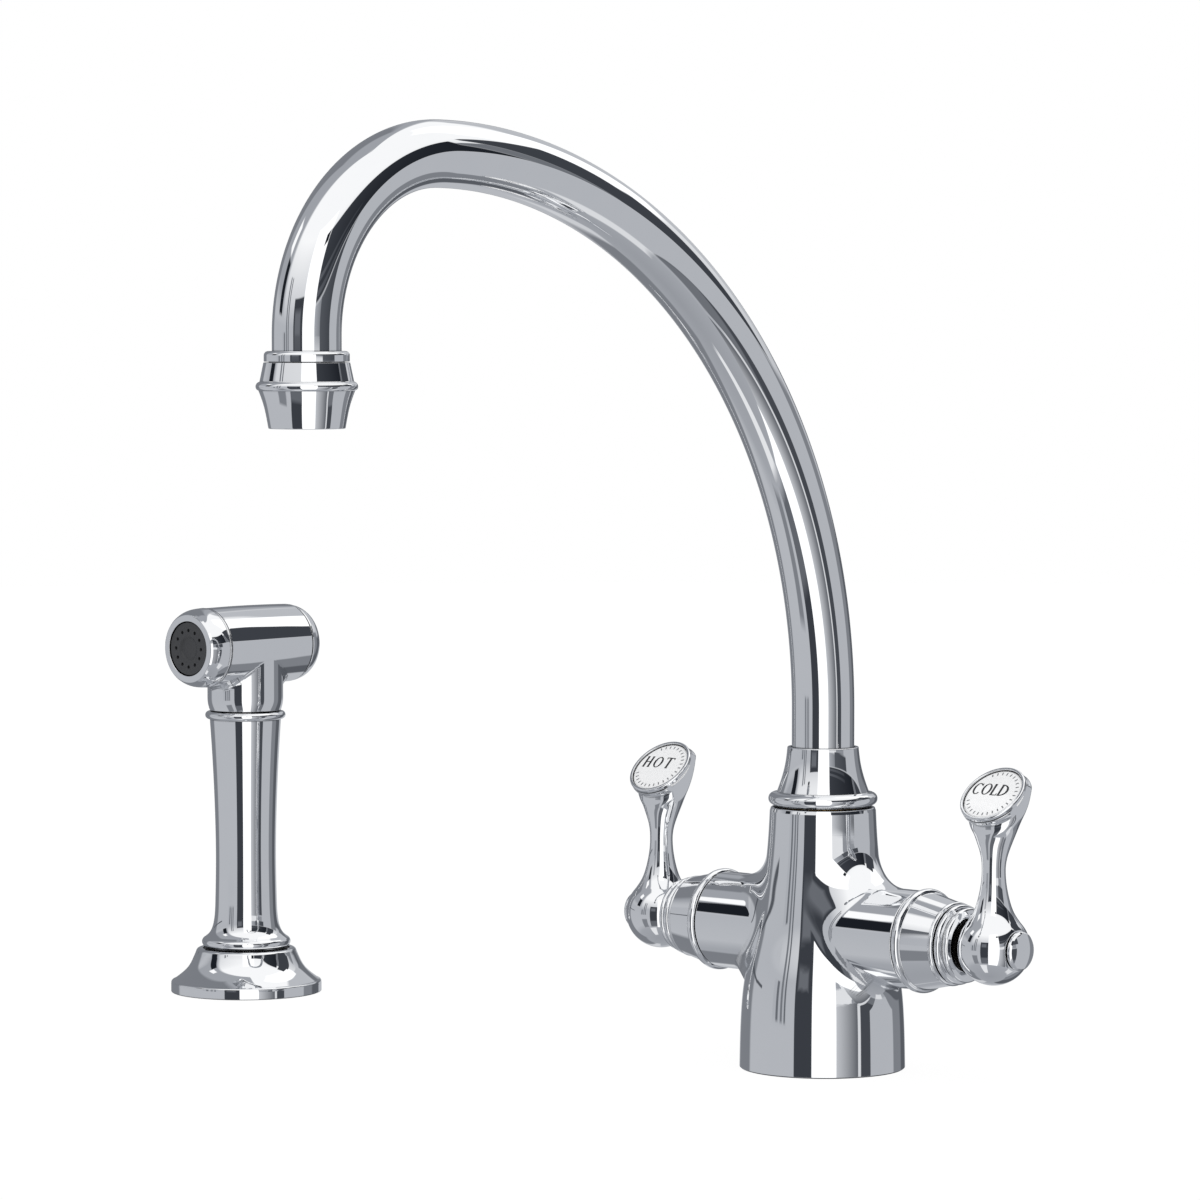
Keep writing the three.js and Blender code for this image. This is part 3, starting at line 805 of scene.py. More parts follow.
# painted shade: near-black brass for the cartridge housings and spindles, which show only through the shaded
# gap beside the collar
PAINTED_SHADE_BRASS = Finish("oiled_dark_brass", "bare_brass", (0.030, 0.026, 0.022), (0.018, 0.016, 0.014),
                     metallic=0.5, roughness=(0.38, 0.52), grain=1.5)
STEEL = TurnedFinish("brushed_steel", "stainless_steel", (0.55, 0.55, 0.56), (0.42, 0.42, 0.43), metallic=1.0,
                     roughness=(0.24, 0.38), grain=2.5, bump=0.015)
CERAMIC = Finish("fired_ceramic", "valve_ceramic", (0.80, 0.78, 0.72), (0.74, 0.72, 0.66),
                 roughness=(0.22, 0.32), grain=1.2)
PORCELAIN = Finish("glazed_porcelain", "index_porcelain", (0.93, 0.932, 0.936), (0.885, 0.89, 0.90),
                   roughness=(0.10, 0.16), grain=2.0, coat=0.6)
INK = Finish("fired_black_ink", "index_porcelain", (0.012, 0.013, 0.015), (0.03, 0.031, 0.034),
             roughness=(0.25, 0.4), grain=0.6)
FAINT_INK = Finish("fired_grey_ink", "index_porcelain", (0.13, 0.135, 0.145), (0.22, 0.225, 0.235),
                   roughness=(0.25, 0.4), grain=0.6)
RUBBER = Finish("seal_rubber_black", "seal_rubber", (0.014, 0.014, 0.015), (0.028, 0.028, 0.03),
                roughness=(0.6, 0.85), grain=0.8, bump=0.02)
NYLON = Finish("natural_nylon", "nylon", (0.68, 0.67, 0.62), (0.60, 0.59, 0.54),
               roughness=(0.38, 0.5), grain=1.5, bump=0.01)
BLACK_ACETAL = Finish("black_acetal", "nylon", (0.016, 0.016, 0.018), (0.028, 0.028, 0.030),
                      roughness=(0.35, 0.5), grain=1.2)
GREY_PLASTIC = Finish("moulded_grey_plastic", "grey_plastic", (0.030, 0.031, 0.034), (0.042, 0.043, 0.047),
                      roughness=(0.34, 0.5), grain=0.35, bump=0.012)


class Body(Enum):
    """The frame's moving bodies."""

    ROOT = "root"
    DIVERTER = "diverter"
    HOT = "hot_lever"
    COLD = "cold_lever"
    SPOUT = "spout"
    HOSE_END = "spray_hose_end"
    HANDSET = "spray_handset"
    BUTTON = "spray_button"


def mesh_object(name: str, shell: Shell, material: bpy.types.Material) -> bpy.types.Object:
    """Makes a shell an object.

    Args:
        name: Name of the object and its mesh.
        shell: Its surface, in millimetres.
        material: Its material.

    Returns:
        The new object, at the origin.
    """
    mesh = bpy.data.meshes.new(name)
    mesh.from_pydata((shell.points * MM).tolist(), [], shell.faces)
    mesh.materials.append(material)
    made = bpy.data.objects.new(name, mesh)
    bpy.context.scene.collection.objects.link(made)
    return made


def add_piece(name: str, shell: Shell, finish: Finish, body: Body, *nodes: str) -> bpy.types.Object:
    """Makes a shell a piece of the object.

    Args:
        name: Name of the piece.
        shell: Its surface, in millimetres.
        finish: Its finish.
        body: The body that it moves with.
        *nodes: The frame's nodes that it stands for.

    Returns:
        The new object, at the origin.
    """
    piece = mesh_object(name, shell, finish.material())
    mesh = piece.data
    mesh.polygons.foreach_set("use_smooth", np.ones(len(mesh.polygons), bool))
    if shell.normals is None:
        mesh.set_sharp_from_angle(angle=SHARP)
    else:
        mesh.normals_split_custom_set_from_vertices(shell.normals.tolist())
    above = bool(shell.points[:, 2].min() > -1)
    piece.visible_glossy = above  # the worktop keeps the rest out of mirrored views
    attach(piece, body.value)
    if nodes:
        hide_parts(*nodes)
    log.info("%s: %d faces, on %s", name, len(mesh.polygons), body.value)
    return piece


# ---- The mixer's body ----------------------------------------------------------------------------


@dataclass(frozen=True)
class MixerBody:
    """The one-piece body: a tapered column with a horn each way for the valves."""

    contour: tuple[tuple[float, float], ...] = (
        (27.5, 0.4), (27.0, 18.0), (25.6, 31.0), (21.9, 46.7), (20.1, 58.0), (18.2, 75.0), (17.6, 85.6),
    )
    height: float = 86.8
    valve_height: float = 45.8
    horn_radius: float = 16.2
    horn_root: float = 35.0
    horn_end: float = 42.6
    window: tuple[float, float] = (14.0, 80.0)  # heights between which the horns leave the column
    fillets: Triple = (2.4, 14.0, 9.0)  # beside, above and below a horn
    sides: int = 192

    def column_profile(self) -> Array:
        """Draws the column with its fixing bore, gasket groove, waterway and spout seat.

        Returns:
            Its outline, from axis to axis.
        """
        return outline(
            (0, 12), (16.9, 12), (16.9, 0), (18.5, 0), (18.5, 1.9), (23.5, 1.9), (23.5, 0), (27.1, 0, 0.3),
            flowing(self.contour, 100), (17.2, self.height, 0.4), (16.4, self.height), (16.4, 85.6),
            (14.6, 85.6), (14.6, 62), (9, 61), (4.4, 58), (4.4, 54.2), (6, 54), (6, 16), (0, 16),
        )

    def distance(self, outside: Array, p: Array) -> Array:
        """Distance to the column and horns, filleted by an amount that changes round a horn's root.

        The column's distance is the radial one divided by the length of its slope, and the fillet runs from
        the beside value to the above or below value with the square of the height's share.

        Args:
            outside: Outline (radius, height) of the column's outer face.
            p: Points, as rows.

        Returns:
            One distance for each point, positive outside.
        """
        radii, heights = outside.T
        beside, above, below = self.fillets
        x, y, z = p.T
        column = np.hypot(x, y) - np.interp(z, heights, radii)
        column = column / np.hypot(1, np.interp(z, heights, np.gradient(radii, heights)))
        up = z - self.valve_height
        across = np.hypot(y, up)
        rise = up / np.maximum(across, 1e-6)
        fillet = beside + (above - beside) * np.clip(rise, 0, 1) ** 2
        fillet = fillet + (below - beside) * np.clip(-rise, 0, 1) ** 2
        return round_union(column, across - self.horn_radius, fillet)

    def build(self) -> None:
        """Makes the body casting, with both horns, in one shell."""
        profile = self.column_profile()
        radii, heights = profile.T
        trunk = lathe_grid(profile, Axis(), full_turn(self.sides, -90))
        outer_face = (radii > 17) & (heights > 1) & (heights < self.height - 1)
        rows = np.flatnonzero((radii > 17) & (heights > 6) & (heights < self.height - 2))
        low, high = (int(rows[np.abs(heights[rows] - h).argmin()]) for h in self.window)
        quarter, half_width = self.sides // 4, self.sides * 5 // 24  # the window is 75 degrees wide each way
        horn = outline(
            (self.horn_radius, self.horn_root), (self.horn_radius, self.horn_end, 0.35),
            (11.2, self.horn_end, 0.3), (11.2, 17), (0, 17),
        )
        arms = [
            Branch(Axis((0.0, 0.0, self.valve_height), (way, 0.0, 0.0), Y_AXIS), horn,
                   (low, high, centre - half_width, centre + half_width))
            for way, centre in ((1.0, quarter), (-1.0, 3 * quarter))
        ]
        shell = branched(trunk, rows, partial(self.distance, profile[outer_face]), *arms)
        add_piece("mixer_body", shell, CHROME, Body.ROOT, "body_casting")


@dataclass(frozen=True)
class Fixings:
    """What clamps the mixer to the worktop from below, and the three tails that leave it."""

    worktop: float = 30.0
    shank_radius: float = 16.5
    shank_bore: float = 14.6
    shank_top: float = 11.7
    tail_circle: float = 10.0
    tail_end: float = -78.0

    def build(self) -> None:
        """Makes the threaded shank, the washers, the nut and the tails."""
        under = -self.worktop
        shank = outline((self.shank_bore, under - 20), (self.shank_radius, under - 20, 0.6),
                        evenly(self.shank_radius, under - 19.2, self.shank_top - 1, 260),
                        (self.shank_radius, self.shank_top, 0.4), (self.shank_bore, self.shank_top))
        thread = Thread(self.shank_radius, 1.5, 0.55, under - 19.5, 2.0)
        add_piece("threaded_shank", turned(shank, sides=96, form=thread), BRASS, Body.ROOT, "fixing_shank")
        rubber = ring(17, 25, under - 3, under, 0.6)
        add_piece("rubber_washer", turned(rubber), RUBBER, Body.ROOT, "worktop_rubber_washer")
        steel = ring(17, 25, under - 5.3, under - 3.3, 0.25)
        add_piece("steel_washer", turned(steel), STEEL, Body.ROOT, "worktop_steel_washer")
        nut = flanged_nut(Axis(), 16.9, 22.5, 19.9, under - 5.6, 10)
        add_piece("clamp_nut", nut, BRASS, Body.ROOT, "fixing_nut")
        across, back = 0.96 * self.tail_circle, 0.28 * self.tail_circle
        for name, x, y in (("hot", -across, back), ("cold", across, back), ("spray", 0.0, -self.tail_circle)):
            add_piece(f"{name}_tail", self.tail(x, y), BRASS, Body.ROOT, f"{name}_supply_tail")

    def tail(self, x: float, y: float) -> Shell:
        """Makes a pipe with a hexagon and a coned, threaded nipple at its lower end.

        Args:
            x: Place of its axis along X.
            y: Place of its axis along Y.

        Returns:
            The closed pipe.
        """
        end = self.tail_end
        profile = outline(
            (2.6, end, 0.2), (4.2, end, 0.2), (4.8, end + 1, 0.2), evenly(4.8, end + 1.4, end + 8.6, 60),
            (4.8, end + 9, 0.1), (4, end + 9.4, 0.1), (5.2, end + 9.5, 0.1), (5.9, end + 10.1, 0.1),
            evenly(5.9, end + 10.3, end + 16.2, 4), (5.2, end + 16.9, 0.1), (4, end + 17, 0.1),
            evenly(4, end + 18, self.shank_top - 0.4, 12), (4, self.shank_top, 0.2),
            (2.6, self.shank_top, 0.2),
        )
        thread, hexagon = Thread(4.8, 1.0, 0.4, end + 1.2, 0.8), Hexagon(5.2, 5.05)
        return turned(profile, Axis((x, y, 0.0)), 72, lambda r, h, a: hexagon(thread(r, h, a), h, a))


def evenly(radius: float, low: float, high: float, steps: int) -> Array:
    """A straight stretch of an outline along the axis, in equal steps."""
    return np.column_stack([np.full(steps + 1, radius), np.linspace(low, high, steps + 1)])


@dataclass(frozen=True)
class Thread:
    """A helical thread that is cut into a cylinder.

    Attributes:
        outer: Radius that is cut; other radii stay.
        pitch: Distance between two turns.
        depth: Depth of the cut.
        start: Height at which the thread starts.
        run_in: Height over which it reaches its depth.
    """

    outer: float
    pitch: float
    depth: float
    start: float
    run_in: float

    def __call__(self, radius: Array, height: Array, angle: Array) -> Array:
        """Cuts by the depth times a triangle wave of height / pitch - angle / turn, which fades in.

        Args:
            radius: Radii before the cut.
            height: Heights.
            angle: Angles in radians.

        Returns:
            Radii after the cut.
        """
        phase = height / self.pitch - angle / (2 * math.pi)
        wave = np.abs(2 * (phase - np.floor(phase)) - 1)
        share = np.clip((height - self.start) / self.run_in, 0, 1)
        return np.where(np.isclose(radius, self.outer), radius - self.depth * wave * share, radius)


@dataclass(frozen=True)
class Hexagon:
    """Six flats on the radii over a limit."""

    flat: float
    above: float

    def __call__(self, radius: Array, height: Array, angle: Array) -> Array:
        """Cuts to the flat's distance over the cosine of the angle to the flat's middle.

        Args:
            radius: Radii before the cut.
            height: Heights, which don't matter here.
            angle: Angles in radians.

        Returns:
            Radii after the cut.
        """
        sixth = math.pi / 3
        aside = angle - sixth * np.round(angle / sixth)
        return np.where(radius > self.above, np.minimum(radius, self.flat / np.cos(aside)), radius)


def flanged_nut(axis: Axis, bore: float, flange: float, flat: float, top: float, height: float) -> Shell:
    """A hexagonal nut with chamfered corners under a round bearing flange.

    Args:
        axis: Its axis.
        bore: Radius of the bore.
        flange: Radius of the flange.
        flat: Distance from the axis to a flat.
        top: Height of the flange's bearing face.
        height: Height of flange and hexagon together.

    Returns:
        The closed nut.
    """
    corner = flat / math.cos(math.pi / 6)
    profile = outline(
        (bore, top - height, 0.3), (flat - 1.2, top - height, 0.2), (corner + 0.1, top - height + 1.6, 0.1),
        evenly(corner + 0.1, top - height + 1.8, top - 2.8, 6), (flat - 1.2, top - 2.6, 0.1),
        (flange - 0.7, top - 2.5, 0.1), (flange, top - 2.0, 0.4), (flange, top, 0.4), (bore, top, 0.3),
    )
    return turned(profile, axis, 120, Hexagon(flat, flat - 1.1))


# ---- Valves and levers ---------------------------------------------------------------------------


class Side(Enum):
    """The two valves, with the way that each points along X."""

    HOT = -1.0
    COLD = 1.0

    @property
    def prefix(self) -> str:
        """The side's name as the frame's nodes have it."""
        return self.name.lower()

    @property
    def body(self) -> Body:
        """The body of this side's lever."""
        return Body[self.name]


@dataclass(frozen=True)
class Valve:
    """One side's shroud, gland collar, lever, index plate and end cap."""

    side: Side
    height: float = 45.8
    start: float = 42.9  # where the shroud meets the horn
    shroud_end: float = 57.6
    collar_end: float = 63.2
    ball_at: float = 72.5
    ball_radius: float = 12.0
    inner_face: float = 64.4
    outer_face: float = 82.6
    cap_end: float = 85.65
    cap_dome: float = 15.2
    plate_radius: float = 10.35
    head_up: float = 48.4
    head_y: float = 0.7
    head_tilt: float = 43.0

    @property
    def line(self) -> Axis:
        """The valve's own axis, from the mixer's axis outwards."""
        return Axis((0.0, 0.0, self.height), (self.side.value, 0.0, 0.0), Y_AXIS)

    @property
    def head(self) -> Axis:
        """The axis of the lever's head, out of its face."""
        tilt, start = math.radians(self.head_tilt), (self.ball_x, self.head_y, self.height + self.head_up)
        return Axis(start, (0.0, -math.sin(tilt), math.cos(tilt)))

    @property
    def ball_x(self) -> float:
        """The ball's place along X."""
        return self.side.value * self.ball_at

    def build(self) -> None:
        """Makes all of this side's pieces that show."""
        self.build_shroud()
        self.build_lever()
        self.build_plate()

    def add(self, name: str, shell: Shell, finish: Finish, body: Body) -> None:
        """Adds a piece that stands for this side's node of the same name."""
        node = f"{self.side.prefix}_{name}"
        add_piece(f"{node}_fine", shell, finish, body, node)

    def build_shroud(self) -> None:
        """Makes the bell-shaped cover and the stepped collar outside it."""
        start, end = self.start, self.shroud_end
        shroud = outline(
            (9, end - 2.2), (11, 54.6), (14, 48.6), (14, start, 0.2),
            arc(15.6, start + 1.6, 1.5, -86, 70, 20), (15.75, start + 3.3, 0.3), (13.55, 56.2, 0.2),
            arc(12.7, end - 1.0, 1.0, 0, 90, 10), (9, end),
        )
        self.add("valve_shroud", turned(shroud, self.line, 144), CHROME, Body.ROOT)
        low = end + GAP
        collar = outline(
            (8.9, low), arc(12.0, low + 1.1, 1.1, -88, 84, 16), (11.2, low + 2.6, 0.25),
            arc(11.2, low + 4.0, 1.0, -76, 76, 14), (10.4, self.collar_end), (8.9, self.collar_end),
        )
        self.add("gland_collar", turned(collar, self.line, 128), CHROME, Body.ROOT)

    def build_lever(self) -> None:
        """Makes the lever: ball, waisted neck and head in one surface, flattened at the ball's two faces.

        Past a face's plane a point is pressed back on to it, with a rounding of a fifth of a millimetre.
        """
        neck = flowing([
            (8.776, 8.184), (6.6, 11.6), (5.35, 15), (4.4, 19.2), (3.85, 25.2), (4.15, 28.8), (5.1, 32.2),
            (6.6, 36), (8.5, 40.2), (10.6, 44.4), (11.55, 47.6),
        ], 90)
        ball = arc(0, 0, self.ball_radius, -90, 40, 72)
        ball[0, 0] = 0.0
        rim = flowing([(11.55, 47.6), (11.68, 48.6), (11.66, 49.5)], 12)
        head = outline((0, 40), rim, (11.6, 50.45, 0.25), (10.5, 50.45, 0.15), (10.5, 48.75, 0.1), (0, 48.75))
        profile = np.vstack([ball, neck[1:-1], head[1:]])
        axis = LeverLine((self.ball_x, 0.0, self.height))
        grid = lathe_grid(profile, axis, full_turn(160))
        out = (grid.points[..., 0] - axis.start[0]) * self.side.value
        for face, way in ((self.outer_face - self.ball_at, 1.0), (self.inner_face - self.ball_at, -1.0)):
            out = way * soft_minimum(way * out, way * face, 0.2)
        grid.points[..., 0] = axis.start[0] + out * self.side.value
        self.add("lever_handle", with_mesh_normals(weld(grid)), CHROME, self.side.body)
        seat = self.outer_face + 0.5
        cap = outline(
            (0, 80.4), (4.3, 80.4), (4.3, seat), (6.35, seat, 0.2),
            (6.25, 84.0, 0.5), arc(0, self.cap_end - self.cap_dome, self.cap_dome, 68, 90, 14),
        )
        self.add("end_cap", turned(cap, self.line, 96), CHROME, self.side.body)
        screw = outline(
            (0, 66), (1.9, 66), (1.9, 78.3), (4.2, 78.3, 0.3), (4.2, 80.1, 0.3), (2.2, 80.1, 0.1),
            (1.9, 79.0, 0.1), (0, 79.0),
        )
        self.add("handle_screw", turned(screw, self.line, 48), STEEL, self.side.body)

    def build_plate(self) -> None:
        """Makes the bezel, the porcelain plate and what is fired on it."""
        r = self.plate_radius
        bezel = outline(
            (r + 0.15, 1.15), (11.55, 1.15, 0.2), arc(10.95, 1.95, 0.6, 5, 90, 10), (r + 0.15, 2.55, 0.2),
        )
        self.add("index_bezel", turned(bezel, self.head, 128), CHROME, self.side.body)
        dome = [(radius, dome_height(radius / r)) for radius in (9.7, 8, 6, 4, 2)]
        plate = outline((0, -0.5), (r, -0.5), (r, 1.75, 0.3), flowing(dome, 16), (0, dome_height(0)))
        self.add("index_plate", turned(plate, self.head, 128), PORCELAIN, self.side.body)
        ink = Lettering(self.head, r)
        add_piece(f"{self.side.prefix}_word", ink.word(self.side.name), INK, self.side.body)
        add_piece(f"{self.side.prefix}_marks", ink.marks(), FAINT_INK, self.side.body)


def dome_height(share: Array | float) -> Array | float:
    """Height of an index plate's face at a share of its radius: its middle's less a quarter of the square."""
    return 2.3 - 0.25 * share**2


def soft_minimum(value: Array, limit: float, rounding: float) -> Array:
    """The lesser of value and limit, with the corner between them rounded as a hyperbola."""
    past = value - limit
    return limit + (past - np.sqrt(past**2 + rounding**2)) / 2


def with_mesh_normals(shell: Shell) -> Shell:
    """Gives a shell normals of its own: the sum of its faces' area vectors at each point.

    Args:
        shell: The shell.

    Returns:
        The same shell with unit normals.
    """
    quads = np.array([face if len(face) == 4 else [*face, face[2]] for face in shell.faces])
    p = shell.points[quads]
    area = np.cross(p[:, 2] - p[:, 0], p[:, 3] - p[:, 1])
    total = np.zeros_like(shell.points)
    np.add.at(total, quads, area[:, None])
    return replace(shell, normals=total / np.linalg.norm(total, axis=1)[:, None])


@dataclass(frozen=True)
class Lettering:
    """Roman capitals with thick and thin strokes, and a ring of plain marks, on a domed round plate."""

    axis: Axis
    plate: float
    height: float = 4.9
    thick: float = 0.84
    thin: float = 0.36
    serif: float = 1.0
    centre: tuple[float, float] = (-1.6, 1.7)
    mark_ends: tuple[float, float] = (0.79, 0.90)  # shares of the plate's radius
    mark_width: float = 0.42

    def lift(self, rows: Array) -> Array:
        """Lays points on the plate's dome.

        Args:
            rows: Rows of (across, up, height above the plate).

        Returns:
            Points of the frame, as rows.
        """
        dome = dome_height(np.hypot(rows[:, 0], rows[:, 1]) / self.plate)
        centre, side, up, _ = self.axis.frames(dome + rows[:, 2])
        return centre + rows[:, :1] * side + rows[:, 1:2] * up

    def stroke(self, start: Sequence[float], stop: Sequence[float], width: float) -> Shell:
        """A straight stroke of even width."""
        path = np.linspace(start, stop, 5)
        return ribbon(path, np.full(len(path), width), self.lift)

    def stem(self, x: float, base: float) -> list[Shell]:
        """Draws an upright thick stroke with a thin serif at each end.

        Args:
            x: Place of its middle line.
            base: Height of the base line.

        Returns:
            The stroke and its two serifs.
        """
        low, high, half = base + self.thin / 2, base + self.height - self.thin / 2, self.serif / 2
        return [
            self.stroke((x, base), (x, base + self.height), self.thick),
            self.stroke((x - half, low), (x + half, low), self.thin),
            self.stroke((x - half, high), (x + half, high), self.thin),
        ]

    def bowl(self, x: float, base: float, width: float, start: float, stop: float) -> Shell:
        """Draws an elliptic stroke whose width swells with the square of the cosine of its angle.

        Args:
            x: Place of its middle.
            base: Height of the base line.
            width: Width of the whole ellipse.
            start: First angle in degrees.
            stop: Last angle in degrees.

        Returns:
            The stroke.
        """
        whole = stop - start >= 360
        a = np.radians(np.linspace(start, stop, 41)[: 40 if whole else 41])
        half_w, half_h = (width - self.thick) / 2, (self.height - self.thin) / 2
        path = np.column_stack([x + half_w * np.cos(a), base + self.height / 2 + half_h * np.sin(a)])
        widths = self.thin + (self.thick - self.thin) * np.cos(a) ** 2
        return ribbon(path, widths, self.lift, closed=whole)

    def glyph(self, letter: str, x: float, base: float) -> tuple[list[Shell], float]:
        """Draws one capital with its left edge at x.

        Args:
            letter: One of C, D, H, L, O and T.
            x: Left edge.
            base: Height of the base line.

        Returns:
            The strokes and the letter's width.
        """
        top, middle, stem = base + self.height, base + self.height / 2, x + self.serif / 2
        bar = self.thin / 2
        if letter == "O":
            return [self.bowl(x + 1.9, base, 3.8, 0, 360)], 3.8
        if letter == "C":
            tip = self.stroke((x + 3.05, top - 1.25), (x + 3.05, top - 0.15), self.thin)
            return [self.bowl(x + 1.85, base, 3.7, 48, 316), tip], 3.3
        if letter == "D":
            bowl = self.bowl(stem, base, 6.0, -90, 90)
            ends = [self.stroke((stem, base + bar), (stem + 0.2, base + bar), self.thin)]
            return [*self.stem(stem, base), bowl, *ends], 3.6
        if letter == "L":
            foot = self.stroke((stem, base + bar), (stem + 2.0, base + bar), self.thin)
            tip = self.stroke((stem + 1.95, base), (stem + 2.05, base + 0.95), self.thin)
            return [*self.stem(stem, base), foot, tip], 2.6
        if letter == "H":
            bar_across = self.stroke((stem, middle), (stem + 2.2, middle), self.thin)
            return [*self.stem(stem, base), *self.stem(stem + 2.2, base), bar_across], 3.2
        roof = self.stroke((x, top - bar), (x + 3.4, top - bar), self.thin)
        tips = [self.stroke((x + d, top), (x + d, top - 0.9), self.thin) for d in (0.1, 3.3)]
        return [*self.stem(x + 1.7, base), roof, *tips], 3.4

    def word(self, letters: str) -> Shell:
        """Spaces letters evenly about the word's centre and draws them.

        Args:
            letters: The word.

        Returns:
            All letters in one shell.
        """
        gap = {3: 1.1, 4: 0.35}[len(letters)]
        base = self.centre[1] - self.height / 2
        widths = [self.glyph(letter, 0.0, base)[1] for letter in letters]
        x = self.centre[0] - (sum(widths) + gap * (len(letters) - 1)) / 2
        shells: list[Shell] = []
        for letter, width in zip(letters, widths):
            shells += self.glyph(letter, x, base)[0]
            x += width + gap
        return joined(shells)

    def marks(self) -> Shell:
        """Draws a ring of short ticks near the plate's edge, with a gap beside the word.

        Returns:
            All ticks in one shell.
        """
        inner, outer = (share * self.plate for share in self.mark_ends)
        angles = np.radians(np.arange(-156, 126, 12))
        spokes = np.column_stack([np.cos(angles), np.sin(angles)])
        return joined([self.stroke(inner * spoke, outer * spoke, self.mark_width) for spoke in spokes])


def joined(shells: Sequence[Shell]) -> Shell:
    """Puts several shells in one.

    Args:
        shells: The shells.

    Returns:
        One shell, whose normals are left to its mesh.
    """
    starts = np.cumsum([0] + [len(shell.points) for shell in shells])
    faces = [[i + start for i in face] for shell, start in zip(shells, starts) for face in shell.faces]
    return Shell(np.concatenate([shell.points for shell in shells]), None, faces)


# ---- Spout ---------------------------------------------------------------------------------------


@dataclass(frozen=True)
class Spout:
    """The swivelling spout: tube, ferrule at its foot and aerator at its tip."""

    tube_radius: float = 10.35
    bore: float = 8.8
    line: SpoutLine = SpoutLine()

    @property
    def outlet(self) -> Axis:
        """The upright axis through the aerator."""
        return Axis((0.0, -self.line.big_bend - self.line.small_bend, 0.0))

    def build(self) -> None:
        """Makes all of the spout's pieces that show."""
        total = float(self.line.marks()[-1])
        tube = outline(
            (self.bore, 0), (self.tube_radius, 0), evenly(self.tube_radius, 0.5, total - 0.6, 320),
            (self.tube_radius, total), (self.bore, total), evenly(self.bore, total - 0.6, 0.5, 120),
        )
        add_piece("spout_bent_tube", turned(tube, self.line, 112), CHROME, Body.SPOUT, "spout_tube")
        self.build_ferrule()
        self.build_aerator()

    def build_ferrule(self) -> None:
        """Makes the coned ferrule with its bead, and the slip ring under it."""
        inner = self.tube_radius + GAP
        ferrule = outline(
            (inner, 93.4), (14.4, 91.4), (14.4, 87.2), (16.2, 87.2, 0.3), arc(16, 89.6, 2.1, -78, 74, 28),
            flowing([(15.25, 91.9), (14.7, 93.4), (13.5, 97), (12.35, 102), (11.85, 106.1)], 24),
            (11.8, 106.8, 0.35), (inner, 106.8, 0.2),
        )
        add_piece("spout_foot_ferrule", turned(ferrule, sides=160), CHROME, Body.SPOUT, "spout_ferrule")
        slip = ring(14.8, 16, 85.9, 86.9, 0.1)
        add_piece("slip_ring", turned(slip), BLACK_ACETAL, Body.ROOT, "spout_bearing_ring")

    def build_aerator(self) -> None:
        """Makes the tip's collar, the beaded housing, its washer and the drilled insert."""
        inner = self.tube_radius + GAP
        collar = outline(
            (inner, 230.6), (11.3, 230.6), (11.3, 235.9), (12.75, 235.9, 0.12), (12.75, 237.5, 0.1),
            arc(11.45, 237.7, 1.3, 4, 90, 14), (inner, 239, 0.2),
        )
        add_piece("tip_collar", turned(collar, self.outlet, 144), CHROME, Body.SPOUT, "aerator_collar")
        housing = outline(
            (9, 216, 0.3), (11.4, 216, 0.35),
            flowing([(11.5, 216.5), (11.95, 219), (12.85, 223), (14.35, 227.3)], 20),
            arc(13.75, 228.5, 1.45, -42, 76, 18), (14.0, 230.1, 0.25), (12.85, 235.62, 0.12), (11.7, 235.62),
            (11.7, 229.6), (10, 229.2), (10, 218), (9, 217.6),
        )
        add_piece("aerator_shell", turned(housing, self.outlet, 144), CHROME, Body.SPOUT, "aerator_housing")
        washer = ring(7, 9.6, 226.8, 228.6, 0.4)
        add_piece("outlet_washer", turned(washer, self.outlet), RUBBER, Body.SPOUT, "aerator_washer")
        self.build_insert()

    def build_insert(self) -> None:
        """Makes the stream former, a cup that hangs face down with a ring of holes."""
        down = Axis(self.outlet.start, (0.0, 0.0, -1.0))
        cup = outline(
            (0, -219.8), (8.6, -219.8), (8.6, -226.4), (9.6, -226.4), (9.6, -218.4, 0.3), (8.2, -218.4),
        )
        face = drilled_disc(3.4, 8.2, -218.4, 0.7, 6.0, 1.0, 12, down)
        boss = np.array([[3.4, -218.4], [3.3, -218.39], [2.0, -218.2], [0, -218.2]])
        angles = full_turn(144, -15)
        shell = weld(lathe_grid(cup, down, angles), *face, lathe_grid(boss, down, angles), exact=False)
        add_piece("stream_former", shell, GREY_PLASTIC, Body.SPOUT, "aerator_insert")


# ---- Side spray ----------------------------------------------------------------------------------


